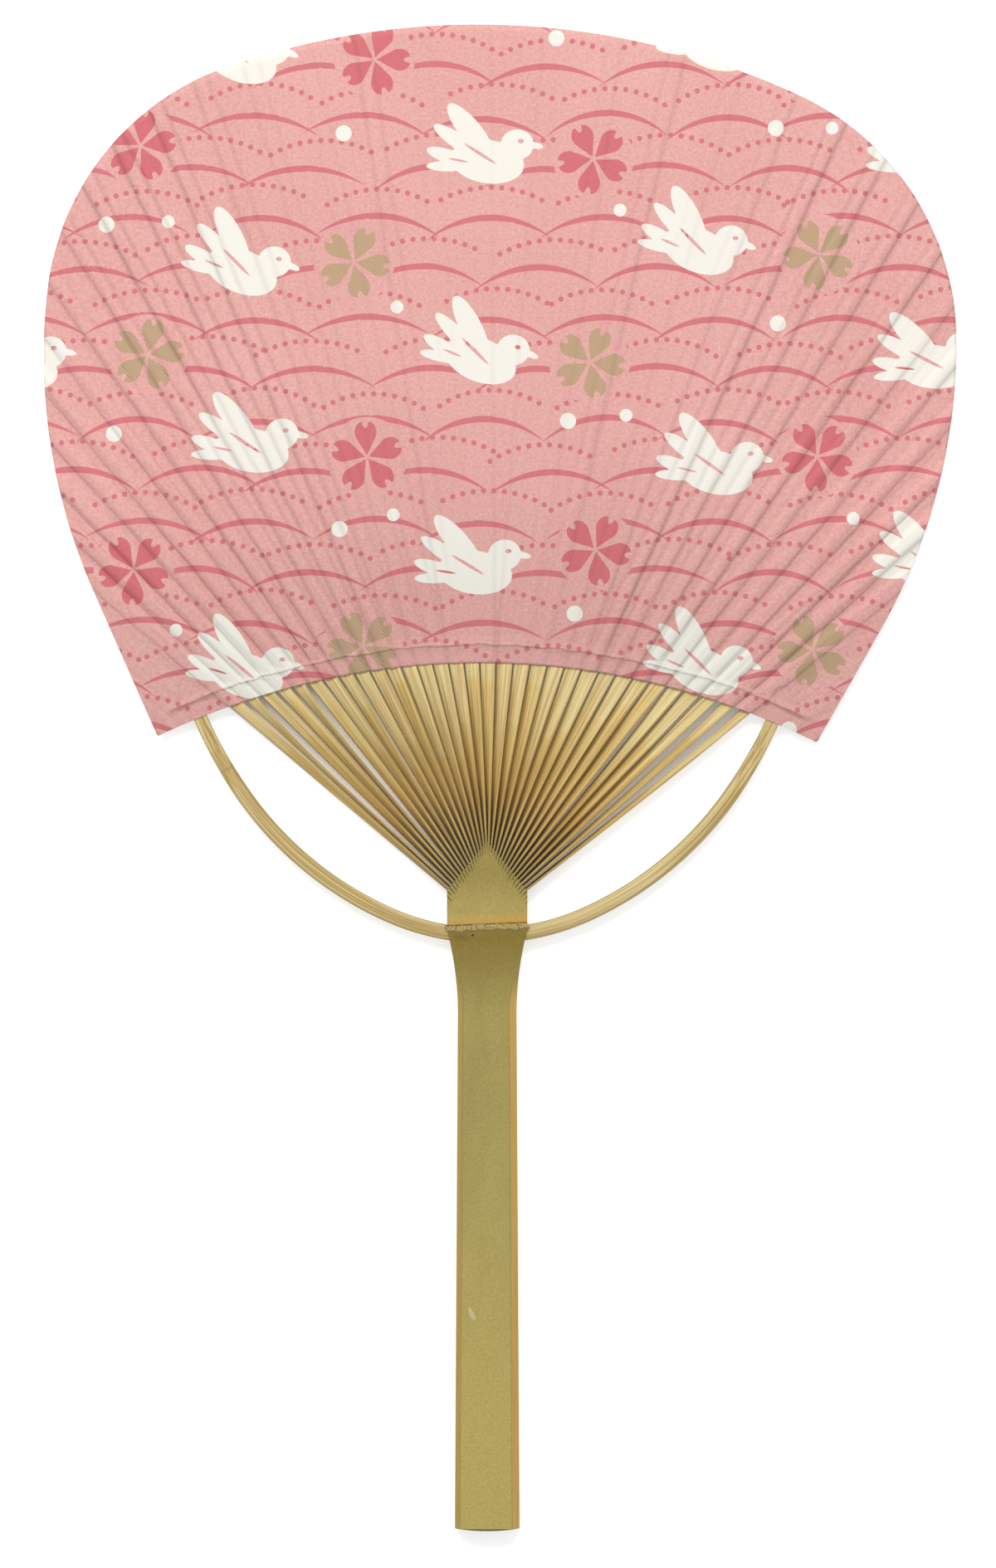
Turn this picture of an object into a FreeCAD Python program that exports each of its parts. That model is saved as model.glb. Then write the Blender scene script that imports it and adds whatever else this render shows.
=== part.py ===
import FreeCAD, Part
import math
import os

from FreeCAD import Vector

# A round uchiwa: a bamboo handle split into ribs, a bow through its node, lacing and two paper leaves.
# Millimetres and degrees. The fan lies on its back: +Y runs from the butt of the handle to the top of
# the leaf, and +Z is the side that shows the bamboo's skin. The origin is on the handle's flat back,
# at the node.

# Handle: a strip of culm wall, planed flat on the back, with its skin on the front.
butt_width = 16.1
waist_width = 14.6
node_width = 20.5
shoulder_width = 20.0
butt_to_node = 150.7
flare_length = 22.0
eave_height = 8.8
gable_height = 12.3
wall_thickness = 3.85
culm_radius = 52.0
edge_chamfer = 0.9

# Node: a swelling with the scar of the sheath across the front, and the stub of the diaphragm behind.
swelling_rise = 0.4
swelling_above = 3.5
swelling_below = 5.5
scar_width = 1.2
scar_rise = 0.35
scar_slant = 2.3
stub_depth = 0.9
stub_above = 4.5
stub_below = 7.0

# Bow: tangent arcs from the node to under the paper, thinned to a tongue that lies among the ribs.
bow_width = 3.8
bow_thickness = 2.4
bow_tip_width = 3.4
bow_bevel = 0.6
bevel_limit = 0.35
bow_drop = 2.4
bow_middle_radius = 60.0
bow_middle_turn = 24.0
bow_arm_radius = 88.0
bow_arm_turn = 32.0
bow_end_radius = 115.0
bow_tuck = 6.8
bow_flat_lead = 2.5
bow_clearance = 0.15

# Leaf: the outline of both papers, a chain of arcs about an axis that leans from the handle's.
leaf_top = 224.5
leaf_shift = 7.3
leaf_lean = 2.9
top_radius = 190.4
top_turn = 22.1
shoulder_radius = 67.2
shoulder_turn = 64.6
side_radius = 145.1
side_turn = 29.9
corner_reach_left = 11.66
corner_reach_right = 12.26
hem_radius = 186.3
hem_height = 65.6
hem_shift = -1.6
paper_thickness = 0.18
leaf_plane = 1.6

# Ribs: split on edge out of the shoulder, each twisted a quarter turn to lie flat under the paper.
ribs_left = 16
ribs_right = 15
split_kerf = 0.05
rib_thickness = 0.6
rib_gap_middle = 0.45
rib_gap_outer = 0.9
bow_gap_left = 8.9
bow_gap_right = 7.1
rim_inset = 0.5
flat_margin = 0.3
twist_steps = 16
twist_power = 1.4

# Lacing: one thread, woven through the ribs above the hem and wound round the tips of the bow.
thread_diameter = 0.32
thread_clearance = 0.03
thread_height = 4.7
wrap_pitch = 0.4
bead_half_width = 1.0
bead_clearance = 0.1

UP = Vector(0, 0, 1)
FAR = leaf_top + butt_to_node
rib_count = ribs_left + 1 + ribs_right
thread_radius = thread_diameter / 2
hem_centre = Vector(hem_shift, hem_height - hem_radius, 0)
thread_ring = hem_radius + thread_height
weave_height = rib_thickness / 2 + thread_radius + thread_clearance


def skin_height(x):
    """Return the height of the round skin side above the flat back, at a distance from the middle."""
    return wall_thickness - culm_radius + math.sqrt(culm_radius ** 2 - x ** 2)


def arc_edge(start, middle, end):
    """Return the arc through three points."""
    return Part.Arc(start, middle, end).toShape()


def line_edge(start, end):
    """Return the straight edge between two points."""
    return Part.LineSegment(start, end).toShape()


def ring_hit(start, direction, radius):
    """Return where a ray first meets a ring about the hem's centre."""
    offset = start - hem_centre
    along = offset.dot(direction)
    root = math.sqrt(along ** 2 - offset.dot(offset) + radius ** 2)
    steps = [step for step in (-along - root, -along + root) if step > 0]
    return start + direction * min(steps)


def ring_point(angle, radius, height):
    """Return a point on a ring about the hem's centre, at an angle in radians."""
    return hem_centre + Vector(radius * math.cos(angle), radius * math.sin(angle), height)


def ring_angle(point):
    """Return the angle in radians at which the hem's centre sees a point."""
    return math.atan2(point.y - hem_centre.y, point.x - hem_centre.x)


# Handle

def handle_plan():
    """Return the handle's outline, from the butt round by the gable, as a face on the back plane."""
    rise = (node_width - waist_width) / 2
    flare_radius = (rise ** 2 + flare_length ** 2) / (2 * rise)
    half_turn = math.asin(flare_length / flare_radius) / 2
    middle_out = waist_width / 2 + flare_radius * (1 - math.cos(half_turn))
    middle_up = flare_radius * math.sin(half_turn) - flare_length
    apex = Vector(0, eave_height + gable_height, 0)
    edges = []
    corners = []
    for side in (1, -1):
        butt = Vector(side * butt_width / 2, -butt_to_node, 0)
        waist = Vector(side * waist_width / 2, -flare_length, 0)
        node = Vector(side * node_width / 2, 0, 0)
        neck = Vector(side * shoulder_width / 2, (node_width - shoulder_width) / 2, 0)
        eave = Vector(side * shoulder_width / 2, eave_height, 0)
        edges.append(line_edge(butt, waist))
        edges.append(arc_edge(waist, Vector(side * middle_out, middle_up, 0), node))
        edges += [line_edge(node, neck), line_edge(neck, eave), line_edge(eave, apex)]
        corners.append(butt)
    edges.append(line_edge(corners[0], corners[1]))
    return Part.Face(Part.Wire(Part.__sortEdges__(edges)))


def node_swelling():
    """Return the swelling and the slanting scar, turned about the axis of the culm."""
    axis = Vector(0, 0, wall_thickness - culm_radius)
    reach = 2 * math.degrees(math.asin(node_width / 2 / culm_radius))
    low = Vector(0, -swelling_below, wall_thickness)
    top = Vector(0, 0, wall_thickness + swelling_rise)
    high = Vector(0, swelling_above, wall_thickness)
    depth = Vector(0, 0, -wall_thickness / 2)
    profile = Part.Wire([arc_edge(low, top, high), line_edge(high, high + depth),
                         line_edge(high + depth, low + depth), line_edge(low + depth, low)])
    scar_points = []
    for along, up in ((-1, -1), (-0.6, 0.7), (0, 1), (0.6, 0.7), (1, -1)):
        scar_points.append(top + Vector(0, along * scar_width / 2, up * scar_rise))
    scar = Part.makePolygon(scar_points + scar_points[:1])
    turned = []
    for wire in (profile, scar):
        face = Part.Face(wire)
        face.rotate(axis, Vector(0, 1, 0), -reach)
        turned.append(face.revolve(axis, Vector(0, 1, 0), 2 * reach))
    turned[1].rotate(Vector(0, 0, 0), UP, -scar_slant)
    return turned[0].fuse(turned[1])


def node_stub():
    """Return the low stub of the diaphragm that swells the back of the node."""
    width = Vector(node_width, 0, 0)
    low = Vector(-node_width / 2, -stub_below, 0)
    bottom = Vector(-node_width / 2, (stub_above - stub_below) / 2, -stub_depth)
    high = Vector(-node_width / 2, stub_above, 0)
    inside = Vector(0, 0, wall_thickness / 2)
    profile = Part.Wire([arc_edge(low, bottom, high), line_edge(high, high + inside),
                         line_edge(high + inside, low + inside), line_edge(low + inside, low)])
    return Part.Face(profile).extrude(width)


def grip_edges(shape):
    """Return the long front edges of the grip, below the node."""
    chosen = []
    for edge in shape.Edges:
        centre = edge.CenterOfMass
        beside = abs(centre.x) > waist_width / 2 - edge_chamfer and edge.Length > flare_length / 2
        in_front = centre.z > wall_thickness / 2
        if beside and in_front and -butt_to_node < centre.y < 0:
            chosen.append(edge)
    return chosen


def bow_bore():
    """Return the two slanting bores, drilled from both sides, that meet in the middle of the node."""
    exit_out = node_width / 2
    exit_up = bow_middle_radius - math.sqrt(bow_middle_radius ** 2 - exit_out ** 2)
    chord = math.hypot(exit_out, exit_up)
    bulge = bow_middle_radius - math.sqrt(bow_middle_radius ** 2 - (chord / 2) ** 2)
    width = bow_width + 2 * (bow_clearance + bulge)
    thickness = bow_thickness + 2 * bow_clearance
    bores = []
    for side in (1, -1):
        direction = Vector(side * exit_out, exit_up, 0) / chord
        start = Vector(0, -bow_drop, leaf_plane) - direction * bow_width / 2
        wire = bow_section(start, direction, width, thickness)
        bores.append(Part.Face(wire).extrude(direction * (chord + bow_width)))
    return bores[0].fuse(bores[1])


def make_handle():
    """Return the handle: crowned strip, chamfered grip, node, gable shoulder and bores for the bow."""
    plan = handle_plan()
    axis_foot = Vector(0, -FAR, wall_thickness - culm_radius)
    culm = Part.makeCylinder(culm_radius, 2 * FAR, axis_foot, Vector(0, 1, 0))
    strip = plan.extrude(UP * 2 * wall_thickness).common(culm)
    strip = strip.makeChamfer(edge_chamfer, grip_edges(strip))
    block = plan.extrude(UP * 4 * wall_thickness)
    block.translate(UP * -2 * wall_thickness)
    node = node_swelling().fuse(node_stub()).common(block)
    return strip.fuse(node).cut(bow_bore()).removeSplitter()


# Bow

def bow_section(centre, direction, width, thickness):
    """Return a bevelled rectangle across a direction, its width level and its thickness upright."""
    across = Vector(direction.y, -direction.x, 0)
    bevel = min(bow_bevel, bevel_limit * thickness)
    flat, upright = width / 2 - bevel, thickness / 2 - bevel
    corners = []
    for out, up in ((1, 1), (-1, 1), (-1, -1), (1, -1)):
        steps = [(flat + bevel, upright), (flat, upright + bevel)]
        for step_out, step_up in steps if out * up > 0 else steps[::-1]:
            corners.append(centre + across * out * step_out + UP * up * step_up)
    return Part.makePolygon(corners + corners[:1])


def bow_point(turn):
    """Return the place and heading on the right arm of the bow's centre line, at a turn in degrees."""
    place = Vector(0, -bow_drop, leaf_plane)
    done = 0
    for radius, span in ((bow_middle_radius, bow_middle_turn), (bow_arm_radius, bow_arm_turn),
                         (bow_end_radius, turn)):
        step = min(span, turn - done)
        start, end = math.radians(done), math.radians(done + step)
        place = place + Vector(math.sin(end) - math.sin(start), math.cos(start) - math.cos(end), 0) * radius
        done += step
    heading = math.radians(turn)
    return place, Vector(math.cos(heading), math.sin(heading), 0)


def bow_hub(turn, radius):
    """Return the centre of the arc of the bow's right arm that starts or ends at a turn."""
    place, heading = bow_point(turn)
    return place + Vector(-heading.y, heading.x, 0) * radius


def turn_at_ring(radius, side):
    """Return the bow's turn where its end crosses a ring about the hem's centre, by halving."""
    low = bow_middle_turn + bow_arm_turn
    high = 90.0
    for _ in range(50):
        middle = (low + high) / 2
        place = bow_point(middle)[0]
        if math.hypot(side * place.x - hem_centre.x, place.y - hem_centre.y) < radius:
            low = middle
        else:
            high = middle
    return low


def flipped(vector, side):
    """Return a vector on the right, or its mirror image on the left."""
    return Vector(side * vector.x, vector.y, vector.z)


def bow_arm(side):
    """Return one arm of the bow: an even arc, a taper down to the hem and the tongue under the paper."""
    arm_start = bow_middle_turn
    arm_end = bow_middle_turn + bow_arm_turn
    hem_turn = turn_at_ring(hem_radius, side)
    flat_turn = hem_turn - math.degrees(bow_flat_lead / bow_end_radius)
    tip_turn = hem_turn + math.degrees(bow_tuck / bow_end_radius)
    place, heading = bow_point(arm_start)
    wire = bow_section(flipped(place, side), flipped(heading, side), bow_width, bow_thickness)
    hub = flipped(bow_hub(arm_start, bow_arm_radius), side)
    arm = Part.Face(wire).revolve(hub, UP, side * bow_arm_turn)
    taper_steps = 6
    sections = []
    for step in range(taper_steps + 1):
        share = step / taper_steps
        place, heading = bow_point(arm_end + share * (flat_turn - arm_end))
        width = bow_width + share * (bow_tip_width - bow_width)
        thickness = bow_thickness + share * (rib_thickness - bow_thickness)
        sections.append(bow_section(flipped(place, side), flipped(heading, side), width, thickness))
    taper = Part.makeLoft(sections, True, True)
    place, heading = bow_point(flat_turn)
    wire = bow_section(flipped(place, side), flipped(heading, side), bow_tip_width, rib_thickness)
    hub = flipped(bow_hub(flat_turn, bow_end_radius), side)
    tongue = Part.Face(wire).revolve(hub, UP, side * (tip_turn - flat_turn))
    return arm.fuse([taper, tongue])


def make_bow():
    """Return the bow: a middle arc through the node and two arms."""
    place, heading = bow_point(bow_middle_turn)
    wire = bow_section(flipped(place, -1), flipped(heading, -1), bow_width, bow_thickness)
    middle = Part.Face(wire).revolve(bow_hub(0, bow_middle_radius), UP, 2 * bow_middle_turn)
    return middle.fuse([bow_arm(1), bow_arm(-1)]).removeSplitter()


# Leaf

def leaf_place(x, y):
    """Return a point of the leaf, given from the top of its own leaning axis, in the fan's frame."""
    lean = math.radians(-leaf_lean)
    return Vector(leaf_shift + x * math.cos(lean) - y * math.sin(lean),
                  leaf_top + x * math.sin(lean) + y * math.cos(lean), 0)


def rim_side(side, inset):
    """Return the rim's edges on one side, from the top down to the hem, and the corner that they end at."""
    edges = []
    heading = 0.0
    x, y = 0.0, -inset
    for outer, turn in ((top_radius, top_turn), (shoulder_radius, shoulder_turn), (side_radius, side_turn)):
        radius = outer - inset
        points = []
        for part in (0, 0.5, 1):
            start, end = math.radians(heading), math.radians(heading + part * turn)
            across = x + radius * (math.sin(end) - math.sin(start))
            down = y - radius * (math.cos(start) - math.cos(end))
            points.append((across, down))
        edges.append(arc_edge(*[leaf_place(side * across, down) for across, down in points]))
        x, y = points[2]
        heading += turn
    bow_tip = flipped(bow_point(turn_at_ring(hem_radius, side))[0], side)
    reach = corner_reach_right if side > 0 else corner_reach_left
    corner = ring_point(ring_angle(bow_tip) - side * (reach - inset) / hem_radius, hem_radius, 0)
    edges.append(line_edge(leaf_place(side * x, y), corner))
    return edges, corner


def leaf_face(height):
    """Return the leaf's whole outline as a face at a height: the rim and the hollow hem."""
    right, right_corner = rim_side(1, 0)
    left, left_corner = rim_side(-1, 0)
    hem_middle = hem_centre + Vector(0, hem_radius, 0)
    edges = right + left + [arc_edge(left_corner, hem_middle, right_corner)]
    face = Part.Face(Part.Wire(Part.__sortEdges__(edges)))
    face.translate(UP * height)
    return face


def bead_solid(radius, base, centre_height, ends):
    """Return a low bead along the thread, round on top in four flats, that runs out at each end."""
    lean = math.acos((base - centre_height) / radius)
    half_width = radius * math.sin(lean)
    pieces = []
    for angle, side in zip(ends, (-1, 1)):
        outward = Vector(math.cos(angle), math.sin(angle), 0)
        hub = ring_point(angle, thread_ring, centre_height)
        arch = []
        for share in (1, 0.5, 0, -0.5, -1):
            turn = share * lean
            arch.append(hub + (outward * math.sin(turn) + UP * math.cos(turn)) * radius)
        wire = Part.makePolygon(arch + arch[:1])
        point = ring_point(angle, thread_ring, base) + UP.cross(outward) * side * half_width
        pieces.append(Part.makeLoft([wire, Part.Vertex(point)], True, True))
    sweep = math.degrees(ends[0] - ends[1])
    pieces.append(Part.Face(wire).revolve(hem_centre, UP, sweep))
    return pieces[0].fuse(pieces[1:])


def make_paper():
    """Return the front paper: a sheet on the ribs with a bead where the lacing lies under it."""
    base = leaf_plane + rib_thickness / 2
    bead_height = thread_diameter + thread_clearance + bead_clearance
    inner = (bead_half_width ** 2 + bead_height ** 2) / (2 * bead_height)
    centre_height = base + bead_height - inner
    overrun = bow_tip_width / 2 / thread_ring
    ends = []
    for side in (1, -1):
        tip = flipped(bow_point(turn_at_ring(thread_ring, side))[0], side)
        ends.append(ring_angle(tip) - side * overrun)
    sheet = leaf_face(base).extrude(UP * paper_thickness)
    outer_bead = bead_solid(inner + paper_thickness, base, centre_height, ends)
    hollow = bead_solid(inner, base, centre_height, ends)
    return sheet.fuse(outer_bead).cut(hollow).removeSplitter()


# Ribs

def rib_lines():
    """Return each rib's root, heading, length to the hem, width there and flat lead, from left to right."""
    pitch = shoulder_width / rib_count
    spread = []
    for side, gap in ((-1, bow_gap_left), (1, bow_gap_right)):
        crossing = flipped(bow_point(turn_at_ring(hem_radius, side))[0], side)
        spread.append(crossing.x - side * gap)
    roots = []
    hems = []
    for index in range(rib_count):
        step = index - ribs_left
        x = step * -spread[0] / ribs_left if step < 0 else step * spread[1] / ribs_right
        lift = math.sqrt(hem_radius ** 2 - (x - hem_centre.x) ** 2)
        hems.append(Vector(x, hem_centre.y + lift, 0))
        root_x = (index + 0.5) * pitch - shoulder_width / 2
        roots.append(Vector(root_x, gable_line(root_x), 0))
    lines = []
    for index in range(rib_count):
        heading = hems[index] - roots[index]
        length = heading.Length
        heading.normalize()
        before, after = max(index - 1, 0), min(index + 1, rib_count - 1)
        across = Vector(heading.y, -heading.x, 0)
        spacing = (hems[after] - hems[before]).dot(across) / (after - before)
        share = abs(index - ribs_left) / ribs_left
        gap = rib_gap_middle + (rib_gap_outer - rib_gap_middle) * share ** 2
        width = spacing - gap
        slant = heading.getAngle(hems[index] - hem_centre)
        lines.append((roots[index], heading, length, width, width / 2 * math.tan(slant) + flat_margin))
    return lines


def gable_line(x):
    """Return how far up the shoulder's gable stands at a distance from the middle."""
    return eave_height + gable_height * (1 - 2 * abs(x) / shoulder_width)


def rib_section(centre, heading, twist, thickness, depth):
    """Return the four corners of a rib's section, its depth turned from upright by a twist."""
    across = Vector(heading.y, -heading.x, 0)
    side = across * math.cos(twist) - UP * math.sin(twist)
    skin = across * math.sin(twist) + UP * math.cos(twist)
    corners = []
    for out, up in ((-1, -1), (1, -1), (1, 1), (-1, 1)):
        corners.append(centre + side * (out * thickness / 2) + skin * (up * depth / 2))
    return corners


def make_rib(line, rim):
    """Return a rib: on edge at the gable, twisted to lie flat at the hem and cut off along the rim."""
    root, heading, length, width, lead = line
    split = shoulder_width / rib_count - split_kerf
    left, right = root.x - split / 2, root.x + split / 2
    depth = min(skin_height(left), skin_height(right))
    sections = [[Vector(left, gable_line(left), 0), Vector(right, gable_line(right), 0),
                 Vector(right, gable_line(right), depth), Vector(left, gable_line(left), depth)]]
    for step in range(1, twist_steps + 1):
        share = step / twist_steps
        twist = math.pi / 2 * share ** twist_power
        centre = root + heading * (length - lead) * share
        centre.z = depth / 2 + (leaf_plane - depth / 2) * share
        thickness = split + (rib_thickness - split) * share
        sections.append(rib_section(centre, heading, twist, thickness, depth + (width - depth) * share))
    tip = []
    for corner in sections[-1]:
        ray = line_edge(Vector(corner.x, corner.y, 0), Vector(corner.x, corner.y, 0) + heading * FAR)
        reach = max(ray.Vertexes[0].Point.distanceToPoint(hit.Point) for hit in ray.section(rim).Vertexes)
        tip.append(corner + heading * reach)
    sections.append(tip)
    wires = [Part.makePolygon(corners + corners[:1]) for corners in sections]
    return Part.makeLoft(wires, True, True)


# Lacing

def tip_wrap(side, lift):
    """Return the thread's turns round one tip of the bow, from its cut end to where it leaves inwards."""
    turn = turn_at_ring(thread_ring, side)
    place, heading = (flipped(vector, side) for vector in bow_point(turn))
    inward = Vector(-side * heading.y, side * heading.x, 0)
    flat = bow_tip_width / 2 - rib_thickness / 2
    loop = [(flat, -lift)]
    half_steps = 6
    half_turns = ((-flat, -90), (flat, 90), (-flat, -90))
    for corner, start in half_turns:
        for step in range(half_steps + 1):
            angle = math.radians(start - 180 * step / half_steps)
            loop.append((corner + weave_height * math.cos(angle), lift * math.sin(angle)))
    loop.append((flat, lift))
    points = []
    for index, (along, height) in enumerate(loop):
        slide = (index / (len(loop) - 1) - 0.5) * wrap_pitch * len(half_turns) / 2
        points.append(place + inward * along + heading * slide + UP * height * weave_height)
    return points


def thread_route(lines):
    """Return the thread's points: round the left tip, over and under the ribs, round the right tip."""
    covers = []
    for root, heading, length, width, lead in lines:
        crossing = ring_hit(root + heading * length, heading, thread_ring)
        angle = ring_angle(crossing)
        radial = Vector(math.cos(angle), math.sin(angle), 0)
        half = width / 2 / (thread_ring * heading.dot(radial))
        covers.append((angle + half, angle - half))
    over = 1
    drop_start, drop_end = 0.35, 0.65
    route = tip_wrap(-1, over)
    for before, after in zip(covers[:-1], covers[1:]):
        for share, height in ((drop_start, over), (drop_end, -over)):
            angle = before[1] + share * (after[0] - before[1])
            route.append(ring_point(angle, thread_ring, leaf_plane + height * weave_height))
        over = -over
    return route + tip_wrap(1, over)[::-1]


def make_thread(lines):
    """Return the thread as a six-sided tube along its route."""
    route = thread_route(lines)
    wires = []
    for index, point in enumerate(route):
        tangent = Vector(0, 0, 0)
        if index > 0:
            tangent = tangent + (point - route[index - 1]).normalize()
        if index < len(route) - 1:
            tangent = tangent + (route[index + 1] - point).normalize()
        tangent.normalize()
        radial = Vector(point.x - hem_centre.x, point.y - hem_centre.y, 0)
        out = (radial - tangent * radial.dot(tangent)).normalize()
        beside = tangent.cross(out)
        corners = []
        for corner in range(6):
            angle = math.radians(60 * corner)
            reach = out * math.cos(angle) + beside * math.sin(angle)
            corners.append(point + reach * thread_radius)
        wires.append(Part.makePolygon(corners + corners[:1]))
    return Part.makeLoft(wires, True, True)


# Assembly

def make_parts():
    """Return every piece by its name."""
    lines = rib_lines()
    rim = Part.Compound(rim_side(1, rim_inset)[0] + rim_side(-1, rim_inset)[0])
    front = make_paper()
    parts = {"handle": make_handle(), "bow": make_bow(), "lacing_thread": make_thread(lines)}
    parts["front_paper"] = front
    parts["back_paper"] = front.mirror(Vector(0, 0, leaf_plane), UP)
    for index, line in enumerate(lines):
        parts["rib_%02d" % (index + 1)] = make_rib(line, rim)
    return parts


os.makedirs("parts", exist_ok=True)
for name, shape in make_parts().items():
    shape.exportStep("parts/%s.step" % name)
    print(name, "solids", len(shape.Solids), "valid", shape.isValid(), "volume %.1f" % shape.Volume)
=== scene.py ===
# %% [markdown]
# # Dressing a split-bamboo uchiwa fan
# The construction comes in as a fixed frame: a handle, its ribs, a bow, a lacing thread and two papers.
# This lesson gives each piece the surface that the eye expects: fibre, skin, paste-pulled paper and print.
# All sizes below are in millimetres, and a piece is turned into metres only when its mesh is made.

# %% Load the fixed frame
import functools
import math

import bpy
import numpy as np
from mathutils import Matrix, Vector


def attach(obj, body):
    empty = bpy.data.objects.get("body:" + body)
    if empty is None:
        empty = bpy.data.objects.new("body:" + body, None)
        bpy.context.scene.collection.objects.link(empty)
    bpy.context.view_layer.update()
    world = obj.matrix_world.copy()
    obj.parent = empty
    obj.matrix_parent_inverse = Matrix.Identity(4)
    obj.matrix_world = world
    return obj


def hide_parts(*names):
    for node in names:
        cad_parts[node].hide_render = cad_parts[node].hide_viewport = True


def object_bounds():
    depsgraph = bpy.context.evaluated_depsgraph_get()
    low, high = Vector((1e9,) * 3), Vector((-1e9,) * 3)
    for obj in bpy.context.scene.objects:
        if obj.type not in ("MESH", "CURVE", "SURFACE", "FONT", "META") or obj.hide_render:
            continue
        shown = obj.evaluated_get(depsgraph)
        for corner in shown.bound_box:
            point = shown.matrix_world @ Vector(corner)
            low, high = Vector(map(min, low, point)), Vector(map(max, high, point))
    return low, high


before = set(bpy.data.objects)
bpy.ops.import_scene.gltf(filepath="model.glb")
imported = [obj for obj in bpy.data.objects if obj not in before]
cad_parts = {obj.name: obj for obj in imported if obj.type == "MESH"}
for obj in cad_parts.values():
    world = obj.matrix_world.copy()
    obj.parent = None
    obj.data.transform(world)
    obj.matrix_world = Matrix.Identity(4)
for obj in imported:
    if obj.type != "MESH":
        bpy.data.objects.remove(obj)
cad_low, cad_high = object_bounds()
scene = bpy.context.scene
MM = 0.001
print("frame box in mm:", [round(value / MM, 1) for value in (*cad_low, *cad_high)])


def new_object(name, data):
    """Put a camera, a lamp or a mesh into the scene and return its object."""
    made = bpy.data.objects.new(name, data)
    scene.collection.objects.link(made)
    return made


# %% [markdown]
# ## Camera
# The fan was laid flat and looked at straight down, so a long lens from far above gives the same even view.
# The picture's middle and scale fix where the camera hangs: no tilt, no shift.

# %% Hang the camera over the fan
picture_wide, picture_high = 1200, 1890
mm_per_pixel = 0.207
handle_axis_pixel = 587
node_line_pixel = 1116
lens_length = 200.0
sensor_side = 36.0
camera_reach = 10000.0
view_x = (picture_wide / 2 - handle_axis_pixel) * mm_per_pixel
view_y = (node_line_pixel - picture_high / 2) * mm_per_pixel
view_distance = picture_high * mm_per_pixel * lens_length / sensor_side

camera_data = bpy.data.cameras.new("camera")
camera_data.lens = lens_length
camera_data.sensor_width = sensor_side
camera_data.clip_end = camera_reach * MM
camera = new_object("camera", camera_data)
camera.location = (view_x * MM, view_y * MM, view_distance * MM)
scene.camera = camera
scene.view_settings.view_transform = "Standard"
print("camera hangs", round(view_distance), "mm above the fan")

# %% [markdown]
# ## Small helpers for every finish
# Colours are picked on screen as hex values, but a shader works in linear light, so one function converts.
# One function adds a node, and each material gets it as `add`, bound to its own nodes. Most finishes are
# inks laid over one another, so one more function lays them: each covers where all its factors are high.

# %% Colour and node helpers
MAIN_SETTING = {"Attribute": "attribute_name", "MapRange": "interpolation_type", "Mapping": "vector_type",
                "Math": "operation", "MixRGB": "blend_type", "TexWave": "bands_direction",
                "VectorMath": "operation"}


def linear(colour):
    """Return an sRGB hex colour as linear red, green, blue and alpha."""
    shown = np.array([int(colour[place:place + 2], 16) for place in (1, 3, 5)]) / 255
    light = np.where(shown > 0.04045, ((shown + 0.055) / 1.055) ** 2.4, shown / 12.92)
    return (*light.tolist(), 1.0)


def add_node(tree, kind, setting=None, *ordered, **named):
    """Add a node with its main setting. Each input takes a link, a hex colour or a fixed value."""
    made = tree.nodes.new("ShaderNode" + kind)
    if setting:
        setattr(made, MAIN_SETTING[kind], setting)
    for key, value in [*enumerate(ordered), *named.items()]:
        if isinstance(value, bpy.types.Node):
            value = value.outputs[0]
        if isinstance(value, bpy.types.NodeSocket):
            tree.links.new(value, made.inputs[key])
        elif value is not None:
            made.inputs[key].default_value = linear(value) if isinstance(value, str) else value
    return made


def empty_nodes(owner):
    """Clear the nodes of a material or a world, and return the function that adds nodes to it."""
    owner.use_nodes = True
    owner.node_tree.nodes.clear()
    return functools.partial(add_node, owner.node_tree)


def start_material(name):
    """Return a new material and the function that adds nodes to it."""
    material = bpy.data.materials.new(name)
    return material, empty_nodes(material)


def end_material(add, colour, height, depth, roughness, gloss):
    """Finish a material: its colour, its roughness and gloss, and a height times a depth in mm as bump."""
    bump = add("Bump", None, Strength=1.0, Distance=depth * MM, Height=height)
    shader = add("BsdfPrincipled", None, colour, Roughness=roughness, Normal=bump,
                 **{"Specular IOR Level": gloss})
    add("OutputMaterial", None, shader)


def field_parts(add, name):
    """Return the three values that a field of the mesh carries."""
    return add("SeparateXYZ", None, add("Attribute", name).outputs["Vector"]).outputs


def combined(add, operation, values):
    """Return several values combined by one operation, such as their product or the largest of them."""
    return functools.reduce(functools.partial(add, "Math", operation), values)


def layered(add, colour, *layers, blend="MIX"):
    """Lay inks over a colour. An ink's cover is the product of its factors, each a value or a smooth range:
    the value followed, where it starts and where it ends, and the cover at both."""
    for ink, *factors in layers:
        covers = [add("MapRange", "SMOOTHSTEP", *factor) if isinstance(factor, tuple) else factor
                  for factor in factors]
        colour = add("MixRGB", blend, combined(add, "MULTIPLY", covers), colour, ink)
    return colour


# %% [markdown]
# ## Floor and light
# A flatbed picture has a white ground and even light that comes from one side. The floor is a matt white
# sheet that also glows a little to the eye, so it reads as white and still takes the fan's shadow. Under the
# fan of ribs it glows less, a painted shade, so the slits between the ribs look grey.
# One long lamp beyond the leaf's top, like a scanner's light bar, shades it without shadows to the sides.
# A plain white world fills the rest.

# %% Floor, lamp and world
floor_half = 3000.0
floor_glow = 0.5
world_level = 0.54
lamp_level = 0.50
lamp_height = 950.0
lamp_beyond = 900.0
lamp_aside = -150.0
lamp_length = 1500.0
lamp_depth = 350.0
wedge_slope, wedge_start = 1.195, -0.4
wedge_top = 66.0
wedge_shade = 0.8
wedge_blur = 0.8


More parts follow.
